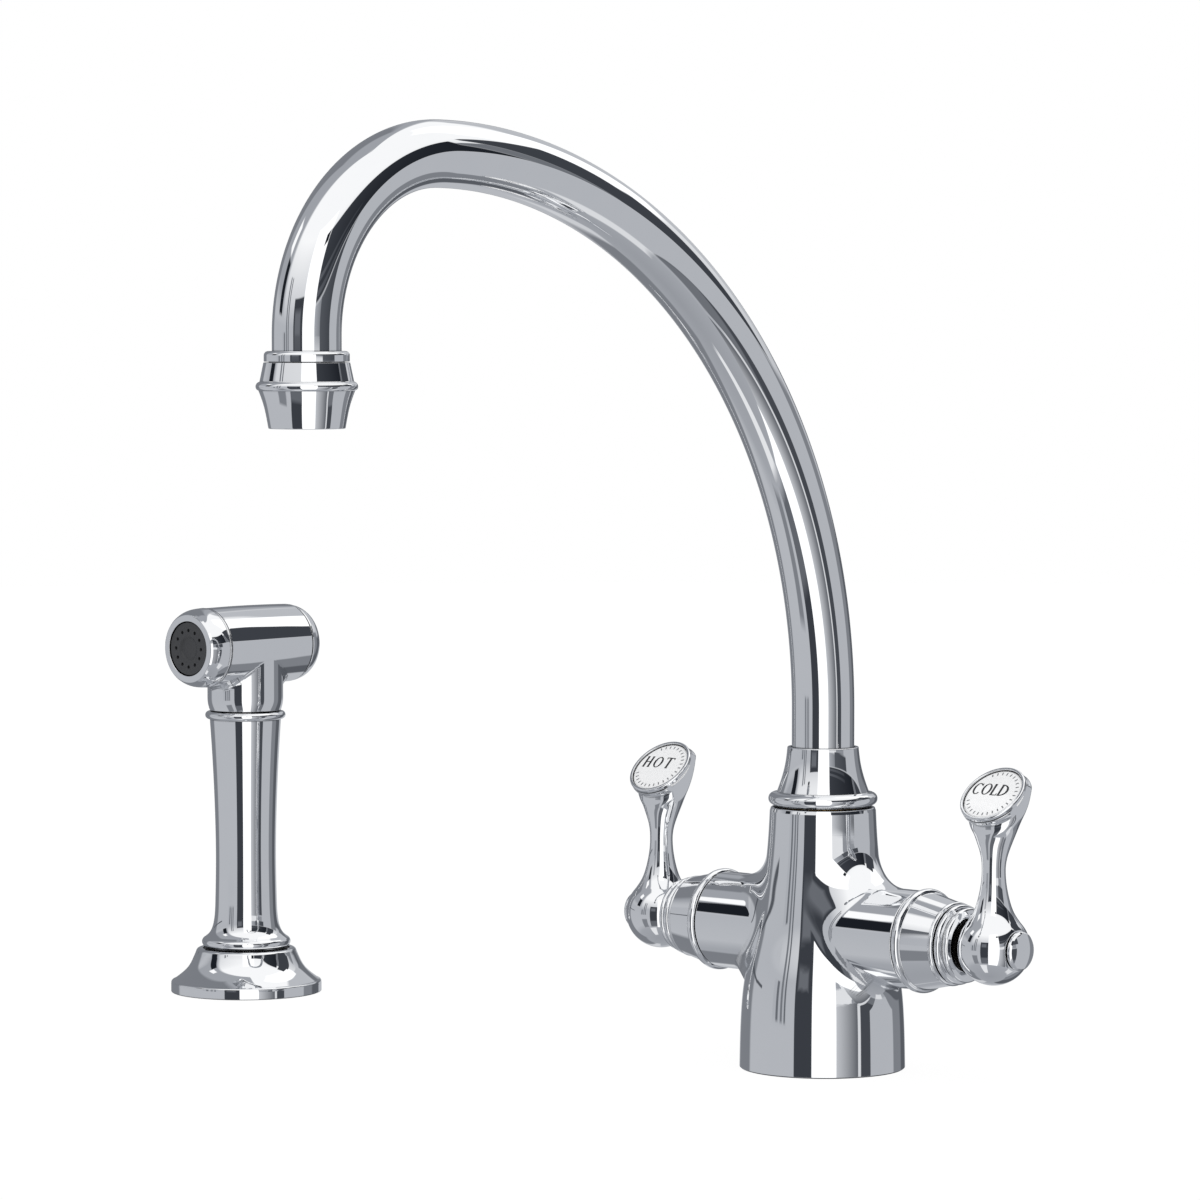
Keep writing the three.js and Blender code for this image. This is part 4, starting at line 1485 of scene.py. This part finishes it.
@dataclass(frozen=True)
class SideSpray:
    """The lift-out spray: flange, hollow grip, cross barrel with nozzle, and thumb button."""

    x: float = -280.2
    barrel_height: float = 127.8
    neck_radius: float = 13.9
    neck_fillet: float = 2.4
    sides: int = 192

    @property
    def stand(self) -> Axis:
        """The spray's upright axis."""
        return Axis((self.x, 0.0, 0.0))

    @property
    def barrel(self) -> Axis:
        """The barrel's axis, towards the nozzle."""
        return Axis((self.x, 0.0, self.barrel_height), (0.0, -1.0, 0.0))

    def build(self) -> None:
        """Makes all of the spray's pieces that show."""
        self.build_base()
        self.build_grip()
        self.build_head()
        self.build_ends()

    def build_base(self) -> None:
        """Makes the ogee flange, its bush, and what clamps it under the worktop."""
        flange = outline(
            (15.9, 0), (19, 0), (19, 1.9), (24, 1.9), (24, 0), (27.7, 0, 0.3), (27.7, 3.0, 0.15),
            arc(26.9, 3.5, 0.75, -10, 66, 10),
            flowing([
                (26.75, 4.35), (25.6, 5.15), (23.4, 6.9), (21.3, 9.1), (19.75, 11.9), (18.75, 14.2),
            ], 30),
            arc(17.1, 14.75, 1.35, 14, 90, 12), (16, 16.1, 0.1), (16, 14.1), (13.6, 14.1), (13.6, 8),
            (15.9, 8),
        )
        add_piece("deck_flange", turned(flange, self.stand, 160), CHROME, Body.ROOT, "spray_flange")
        bush = outline((10, -12), (13.2, -12, 0.4), (13.2, 14.4), (15.6, 14.4), (15.6, 15.9), (10, 15.9, 0.4))
        add_piece("guide_bush", turned(bush, self.stand), BLACK_ACETAL, Body.ROOT, "spray_guide_bush")
        shank = outline(
            (13.6, -42), (15.5, -42, 0.5), evenly(15.5, -41.4, 6.8, 220), (15.5, 7.7, 0.3), (13.6, 7.7),
        )
        thread = Thread(15.5, 1.5, 0.5, -41.6, 2.0)
        add_piece("flange_shank", turned(shank, self.stand, 96, thread), BRASS, Body.ROOT, "spray_shank")
        nut = flanged_nut(self.stand, 15.9, 22.0, 18.2, -30.0, 9.0)
        add_piece("flange_nut", nut, BRASS, Body.ROOT, "spray_nut")
        barb = outline(
            (3.5, -18, 0.2), (6.4, -18, 0.4), (7.6, -15.2, 0.1), (6.9, -15, 0.1), (8.1, -12, 0.1),
            (7.4, -11.8, 0.1), (8.6, -8.6, 0.1), (8.0, -8.4, 0.1), (9.0, -4), (9.2, 1.5), (3.5, 1.5),
        )
        barb = turned(barb, self.stand, 72)
        add_piece("hose_connector", barb, BRASS, Body.HOSE_END, "spray_hose_connector")

    def build_grip(self) -> None:
        """Makes the hollow grip between its two beads."""
        grip = outline(
            (7, 1.8), (9.6, 1.8, 0.4), (9.6, 16.4), (13.6, 16.5), arc(14.4, 18.4, 1.9, -84, 62, 24),
            flowing([
                (14.55, 20.6), (13.7, 21.4), (12.6, 23.3), (11.8, 26.5), (11.3, 34), (11.05, 48), (11.2, 62),
                (11.75, 78), (12.5, 92), (13.0, 99.6),
            ], 80),
            (13.05, 100.75, 0.25), arc(13.3, 102.2, 1.45, -70, 66, 18), (12.8, 103.8, 0.2), (10.6, 103.8),
            (10.6, 92), (7, 92),
        )
        add_piece("spray_grip", turned(grip, self.stand, 144), CHROME, Body.HANDSET, "spray_handle")

    def build_head(self) -> None:
        """Makes the barrel and the neck under it in one shell."""
        edge = flowing([(14.35, -20.5), (14.5, -14), (14.6, -6), (14.6, 6), (14.5, 13), (14.4, 18.9)], 70)
        profile = outline((0, -11), (10.6, -11), (10.6, -20.9), (14.1, -20.9, 0.3), edge, (14.1, 19.3, 0.3),
                          (11.2, 19.3), (11.2, 9.4), (0, 9.4))
        trunk = lathe_grid(profile, self.barrel, full_turn(self.sides, 90))
        rows = np.flatnonzero((profile[:, 0] > 14) & (np.abs(profile[:, 1]) < 20))
        low, high = (int(rows[np.abs(profile[rows, 1] - h).argmin()]) for h in (-18.6, 18.2))
        middle, half_width = self.sides // 2, self.sides * 11 // 48  # 82.5 degrees each way
        neck = outline(
            (self.neck_radius, 18.0),
            flowing([(self.neck_radius, 18.6), (13.85, 20.4), (13.5, 22.4), (13.1, 23.7)], 14), (13.0, 23.8),
            (10.2, 23.8, 0.2), (10.2, 33.8), (6.2, 33.8), (6.2, 20), (0, 20),
        )
        down = Axis((self.x, 0.0, self.barrel_height), (0.0, 0.0, -1.0))
        arm = Branch(down, neck, (low, high, middle - half_width, middle + half_width))
        shell = branched(trunk, rows, partial(self.distance, edge), arm)
        add_piece("spray_tee", shell, CHROME, Body.HANDSET, "spray_head")

    def distance(self, edge: Array, p: Array) -> Array:
        """Distance to barrel and neck together; the neck shrinks away above the barrel's axis.

        The fillet between them fades as their surfaces come to lie along each other, so the neck's sides run
        on into the barrel's.

        Args:
            edge: Outline (radius, height) of the barrel's outer face.
            p: Points, as rows.

        Returns:
            One distance for each point, positive outside.
        """
        x, y, z = (p - [self.x, 0.0, self.barrel_height]).T
        round_barrel, round_neck = np.hypot(x, z), np.hypot(x, y)
        barrel = round_barrel - np.interp(-y, edge[:, 1], edge[:, 0])
        upright = round_neck - self.neck_radius + 2 * np.maximum(z, 0)
        likeness = x**2 / np.maximum(round_barrel * round_neck, 1e-6)
        fillet = self.neck_fillet * np.clip(1 - likeness, 0.02, 1) ** 2
        return round_union(barrel, upright, fillet)

    def build_ends(self) -> None:
        """Makes the nozzle cap with its drilled plate, the rear cap and the thumb button."""
        cap = outline(
            (11.3, 19.6), (13.9, 19.6, 0.15), arc(14.1, 20.1, 0.45, -90, 60, 8),
            flowing([(14.5, 20.9), (14.35, 23.2), (13.75, 25.9), (12.9, 27.7)], 20),
            (12.3, 28.45, 0.5), (10, 28.5, 0.2), (10, 24.6), (11.3, 24.6),
        )
        add_piece("nozzle_ring", turned(cap, self.barrel, 144), CHROME, Body.HANDSET, "spray_nozzle_cap")
        plate = outline((0, 23.2), (11.0, 23.2), (11.0, 24.3), (9.66, 24.4), (9.66, 28.1, 0.25), (9.1, 28.1))
        dish = np.array([
            [4.75, 28.1], [4.6, 28.07], [4.2, 27.8], [3.8, 27.5], [3.5, 27.4], [1.8, 27.32], [0, 27.3],
        ])
        angles = full_turn(144, -15)
        sectors = drilled_disc(4.75, 9.1, 28.1, 0.65, 6.66, 1.4, 12, self.barrel)
        shell = weld(lathe_grid(plate, self.barrel, angles), *sectors, lathe_grid(dish, self.barrel, angles),
                     exact=False)
        add_piece("nozzle_face", shell, GREY_PLASTIC, Body.HANDSET, "spray_nozzle_plate")
        rear = outline(
            (8.2, -28, 0.2), (9.2, -28.1, 0.4),
            flowing([(10, -27.85), (12.3, -26.1), (13.6, -23.9), (14.2, -21.7)], 24), (14.15, -21.2, 0.15),
            (10.9, -21.2), (10.9, -24.8), (8.2, -24.8),
        )
        add_piece("rear_dome", turned(rear, self.barrel, 144), CHROME, Body.HANDSET, "spray_rear_cap")
        dome = flowing([(7.3, -28.1), (5.6, -29), (3, -29.5), (1.4, -29.58)], 20)[::-1]
        button = outline(
            (0, -29.6), dome, (7.8, -27.2, 0.4), (7.8, -24.5), (9.6, -24.5), (9.6, -23.2), (0, -23.2),
        )
        button = turned(button, self.barrel, 120)
        add_piece("thumb_button", button, CHROME, Body.BUTTON, "spray_thumb_button")
        self.build_spring()

    def build_spring(self) -> None:
        """Makes the spring that the button presses."""
        wire, end, seat = 0.6, -21.9, -12.0
        shell = coiled(self.barrel, 5.6, wire, end, seat, 5)
        spring = add_piece("valve_spring", shell, STEEL, Body.HANDSET, "spray_valve_spring")
        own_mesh(spring)


# ---- Hidden pieces that keep their CAD shape -----------------------------------------------------


def dress_hidden() -> None:
    """Gives each node that no fine piece stands for the finish that its record slot names; cartridge housings
    and spindles get near-black brass as painted shade.
    """
    finishes = {f.slot: f for f in (CHROME, BRASS, STEEL, CERAMIC, PORCELAIN, RUBBER, NYLON, GREY_PLASTIC)}
    slots = {part["node"]: part["material_slot"] for part in frame["record"]["subparts"]}
    for name, node in frame["nodes"].items():
        # cartridge housings and spindles get near-black brass, painted shade for the gap they show through
        finish = PAINTED_SHADE_BRASS if name.endswith(("cartridge_housing", "spindle")) else finishes[slots[name]]
        for slot in node.material_slots:
            slot.material = finish.material()


# ---- Stage ---------------------------------------------------------------------------------------


@dataclass(frozen=True)
class Stage:
    """White studio: camera, floor, world and one soft lamp.

    Attributes:
        camera_place: Place of the camera in millimetres.
        forward: The way that it looks, seen from above.
        pitch: Angle in degrees by which it looks down.
        lens: Focal length of the lens in millimetres.
        sensor: Width of the sensor in millimetres.
        floor_radius: Radius of the floor in millimetres.
        floor_glow: Share of the floor's tone that the camera sees as plain white; the rest takes the shadow.
        lamp_place: Place of the lamp in metres.
        lamp_aim: The point that it faces, in metres.
        lamp_side: Side of the square lamp in metres.
        lamp_power: Power of the lamp in watts.
        scattered: Level of the world for all that isn't seen by the camera itself.
    """

    camera_place: Triple = (1108.9, -1290.6, 252.1)
    forward: tuple[float, float] = (-0.6840, 0.7295)
    pitch: float = 3.258
    lens: float = 154.55
    sensor: float = 36.0
    floor_radius: float = 3000.0
    floor_glow: float = 0.94
    lamp_place: Triple = (0.4, -0.9, 1.9)
    lamp_aim: Triple = (0.0, 0.0, 0.2)
    lamp_side: float = 1.6
    lamp_power: float = 6.0
    scattered: float = 0.95

    def build(self) -> None:
        """Makes everything that isn't the object."""
        self.build_camera()
        self.build_floor()
        self.build_world()
        self.build_lamp()
        scene = bpy.context.scene
        scene.view_settings.view_transform = "Standard"

    def build_camera(self) -> None:
        """Makes the camera at the photograph's place, looking slightly down."""
        data = bpy.data.cameras.new("camera")
        data.lens, data.sensor_width, data.clip_start = self.lens, self.sensor, 0.05
        camera = bpy.data.objects.new("camera", data)
        down = math.radians(self.pitch)
        look = Vector((self.forward[0] * math.cos(down), self.forward[1] * math.cos(down), -math.sin(down)))
        camera.rotation_euler = look.to_track_quat("-Z", "Y").to_euler()
        camera.location = Vector(self.camera_place) * MM
        bpy.context.scene.collection.objects.link(camera)
        bpy.context.scene.camera = camera

    def build_floor(self) -> None:
        """Makes a round floor that is white to the camera, with a faint shadow, and unseen by metal."""
        edge = self.floor_radius
        disc = turned(outline((0, -3), (edge, -3), (edge, -0.05), (0, -0.05)), sides=64)
        material = bpy.data.materials.new("floor_white")
        tree = emptied(material)
        diffuse = tree.add("BsdfDiffuse", {"Color": (0.9, 0.9, 0.9, 1)}).outputs[0]
        glow = tree.add("Emission", {"Strength": 1.02}).outputs[0]
        seen = tree.add("LightPath").outputs["Is Camera Ray"]
        mix = tree.add("MixShader", {0: tree.number("MULTIPLY", seen, self.floor_glow), 1: diffuse, 2: glow})
        tree.add("OutputMaterial", {0: mix.outputs[0]})
        floor = mesh_object("floor", disc, material)
        floor.visible_glossy = False

    def build_lamp(self) -> None:
        """Makes one broad overhead lamp that metal doesn't mirror."""
        data = bpy.data.lights.new("overhead", "AREA")
        data.shape, data.size, data.energy = "SQUARE", self.lamp_side, self.lamp_power
        lamp = bpy.data.objects.new("overhead", data)
        lamp.location = self.lamp_place
        towards = Vector(self.lamp_aim) - Vector(self.lamp_place)
        lamp.rotation_euler = towards.to_track_quat("-Z", "Y").to_euler()
        lamp.visible_glossy = False
        lamp.visible_camera = False
        bpy.context.scene.collection.objects.link(lamp)

    def build_world(self) -> None:
        """Makes the world: white to the camera and plain light for what scatters."""
        world = bpy.data.worlds.new("studio")
        bpy.context.scene.world = world
        tree = emptied(world)
        seen = tree.add("LightPath").outputs["Is Camera Ray"]
        level = tree.add("MapRange", {"Value": seen, "To Min": self.scattered, "To Max": 1.0})
        light = tree.add("Background", {"Color": (1, 1, 1, 1), "Strength": level.outputs["Result"]})
        tree.add("OutputWorld", {0: light.outputs[0]})


LAST_AZIMUTH = 130.0  # behind the object, where the panels' turn starts and ends


@dataclass(frozen=True)
class Panel:
    """One panel or opening of the studio, as the angles between which it is seen from the middle.

    Attributes:
        azimuth: First and last azimuth in degrees, in the turn that ends at the last azimuth.
        elevation: Lowest and highest elevation in degrees.
        tone: Display tone at the first azimuth, from black 0 to white 1.
        last_tone: Display tone at the last azimuth, if it changes on the way.
        soft: Width of its edge in degrees.
    """

    azimuth: tuple[float, float]
    elevation: tuple[float, float]
    tone: float
    last_tone: float | None = None
    soft: float = 0.8

    def over(self, tree: NodeTree, below: bpy.types.NodeSocket, azimuth: bpy.types.NodeSocket,
             elevation: bpy.types.NodeSocket) -> bpy.types.NodeSocket:
        """Lays the panel over what lies behind it.

        Its share is a half minus the distance outside its edge over the edge's width, from 0 to 1.

        Args:
            tree: The studio's nodes.
            below: Colour of what lies behind.
            azimuth: Azimuth in degrees.
            elevation: Elevation in degrees.

        Returns:
            The colour of both together.
        """
        (left, right), (low, high) = self.azimuth, self.elevation
        outside = tree.number(
            "MAXIMUM", past_limits(tree, azimuth, left, right), past_limits(tree, elevation, low, high),
        )
        share = tree.number("MULTIPLY_ADD", outside, -1 / self.soft, 0.5)
        share.node.use_clamp = True
        colour = shade(self.tone)
        if self.last_tone is not None:
            across = tree.number("MULTIPLY_ADD", azimuth, 1 / (right - left), -left / (right - left))
            colour = tree.mix(across, colour, shade(self.last_tone))
        return tree.mix(share, below, colour)


def past_limits(tree: NodeTree, angle: bpy.types.NodeSocket, first: float,
                last: float) -> bpy.types.NodeSocket:
    """How far an angle lies outside two limits, negative between them."""
    aside = tree.number("ABSOLUTE", tree.number("SUBTRACT", angle, (first + last) / 2))
    return tree.number("SUBTRACT", aside, (last - first) / 2)


@dataclass(frozen=True)
class StudioDome:
    """The room that polished metal mirrors: a dome of panels, unseen by the camera, that lights nothing."""

    centre: Triple = (-60.0, -80.0, 150.0)
    radius: float = 1200.0
    strength: float = 1.1
    ground: tuple[tuple[float, float], ...] = (
        (-90, 0.60), (-50, 0.64), (-38, 0.72), (-12, 0.71), (8, 0.70), (18, 0.82), (42, 0.98),
    )
    panels: tuple[Panel, ...] = (
        # the wall behind the object, and what stands at its left
        Panel((-230, -124), (14, 90), 0.63, soft=8),
        Panel((-230, -200), (-2, 20), 0.47, soft=6),
        Panel((96, 130), (13, 44), 0.73, soft=3),
        Panel((105, 130), (-6, 11), 0.44, soft=3),
        Panel((-230, -214), (-60, -34), 0.80, soft=5),
        Panel((-218, -173), (-60, 60), 0.49, soft=5),
        Panel((-190, -150), (-2.6, -1.4), 0.34, soft=0.5),
        Panel((-152, -138), (31, 42), 1.0, soft=1.5),
        Panel((-143, -129), (11.5, 30), 0.14, soft=1.5),
        Panel((-124, -100), (-9, 5.5), 0.68, soft=2),
        Panel((-118, -114), (-9, 5.5), 0.42),
        Panel((-110, -106.5), (-9, 27), 0.46),
        Panel((-103.5, -101), (-9, 27), 0.40),
        Panel((-118, -98), (-46, -22), 0.50, soft=3),
        Panel((-95, -66), (-76, -50), 0.90, soft=3),
        # the dark flag and the white sheet at its right
        Panel((-86, -59.5), (-44, 19), 0.25),
        Panel((-82, -66), (4, 14), 0.42, soft=3),
        Panel((-86, -60), (-46, -28), 0.40, soft=4),
        Panel((-59.5, -25), (-49, 45), 1.06),
        # the lower front: a sheet that falls off, a light slot, a dark post and a grey board
        Panel((-25, 5), (-48, -3), 0.76, 0.38),
        Panel((-25, -3), (-3, 4), 0.88),
        Panel((-3, 22), (-3, 3), 0.56),
        Panel((5, 9), (-38, -4), 0.84),
        Panel((9, 23.5), (-42, -4), 0.29, soft=1.0),
        Panel((9, 23.5), (-44, -24), 0.44, soft=3),
        Panel((23.5, 67), (-46, 12.4), 0.70, soft=0.6),
        Panel((24, 50), (-58, -44), 0.86, soft=3),
        Panel((-25, -8), (4, 12.5), 0.66, 0.52),
        Panel((-8, 28.5), (3, 12.5), 0.34, 0.28),
        # the dark header over it, with its two light slots
        Panel((-33, -26), (33, 37.5), 0.14),
        Panel((-25, 43), (13.2, 37), 0.25, 0.15),
        Panel((-24, 20), (19, 21), 0.38, 0.24, soft=0.6),
        Panel((-24, 20), (14.6, 16.6), 0.36, 0.26, soft=0.6),
        Panel((43, 48), (13.2, 32), 0.44),
        # the far right
        Panel((62, 103), (27, 70), 1.05, soft=1.5),
        Panel((48, 72), (13.2, 40), 0.26),
        Panel((69, 77), (13.2, 30), 0.26, soft=1.2),
        Panel((66, 90), (-60, 12.4), 0.50, soft=2),
        Panel((88, 112), (-60, 4), 0.36, soft=4),
    )

    def build(self) -> None:
        """Makes the dome's mesh and its light."""
        ball = turned(np.vstack([[0, -1], arc(0, 0, 1, -90, 90, 48)[1:-1], [0, 1]]), sides=96)
        ball = replace(ball, points=ball.points * self.radius + self.centre)
        dome = mesh_object("studio_dome", ball, self.material())
        dome.visible_camera = dome.visible_diffuse = dome.visible_shadow = dome.visible_transmission = False

    def material(self) -> bpy.types.Material:
        """Lays the panels over the ground tones, in order.

        The azimuth is the arc tangent of y over x and the elevation the arc sine of z, both of the unit
        vector from the dome's centre.

        Returns:
            The material, which glows with those tones.
        """
        material = bpy.data.materials.new("studio_panels")
        tree = emptied(material)
        place = tree.add("TexCoord").outputs["Object"]
        aim = tree.vector("NORMALIZE", tree.vector("SUBTRACT", place, tuple(c * MM for c in self.centre)))
        x, y, z = tree.add("SeparateXYZ", {0: aim}).outputs
        degree = 180 / math.pi
        azimuth = tree.number("MULTIPLY", tree.number("ARCTAN2", y, x), degree)
        azimuth = tree.number("WRAP", azimuth, LAST_AZIMUTH, LAST_AZIMUTH - 360)
        elevation = tree.number("MULTIPLY", tree.number("ARCSINE", z), degree)
        colour = self.ground_tones(tree, elevation)
        for panel in self.panels:
            colour = panel.over(tree, colour, azimuth, elevation)
        glow = tree.add("Emission", {"Color": colour, "Strength": self.strength}).outputs[0]
        tree.add("OutputMaterial", {0: glow})
        return material

    def ground_tones(self, tree: NodeTree, elevation: bpy.types.NodeSocket) -> bpy.types.NodeSocket:
        """Adds the tones that run from the ground to the ceiling.

        Args:
            tree: The studio's nodes.
            elevation: Elevation in degrees.

        Returns:
            Their colour.
        """
        ramp = tree.add("ValToRGB", {0: tree.number("MULTIPLY_ADD", elevation, 1 / 180, 0.5)})
        tones = [((angle + 90) / 180, tone) for angle, tone in self.ground] + [(1.0, self.ground[-1][1])]
        for at, _ in tones[1:-1]:
            ramp.color_ramp.elements.new(at)
        for element, (_, tone) in zip(ramp.color_ramp.elements, tones):
            element.color = (*shade(tone), 1.0)
        return ramp.outputs[0]


def shade(tone: float) -> Triple:
    """Linear colour of a display tone, a little blue except close to white."""
    share = min(3 * max(1 - tone, 0.0), 1.0)
    return tuple((tone + share * cast) ** 2.2 for cast in (-0.014, -0.003, 0.019))


def main() -> None:
    """Builds the stage and every sub-assembly in order."""
    Stage().build()
    StudioDome().build()
    dress_hidden()
    MixerBody().build()
    Fixings().build()
    for side in Side:
        Valve(side).build()
    Spout().build()
    SideSpray().build()
    log.info("size notes written")


if __name__ == "__main__":
    logging.basicConfig(level=logging.INFO, format="%(name)s: %(message)s")
    main()
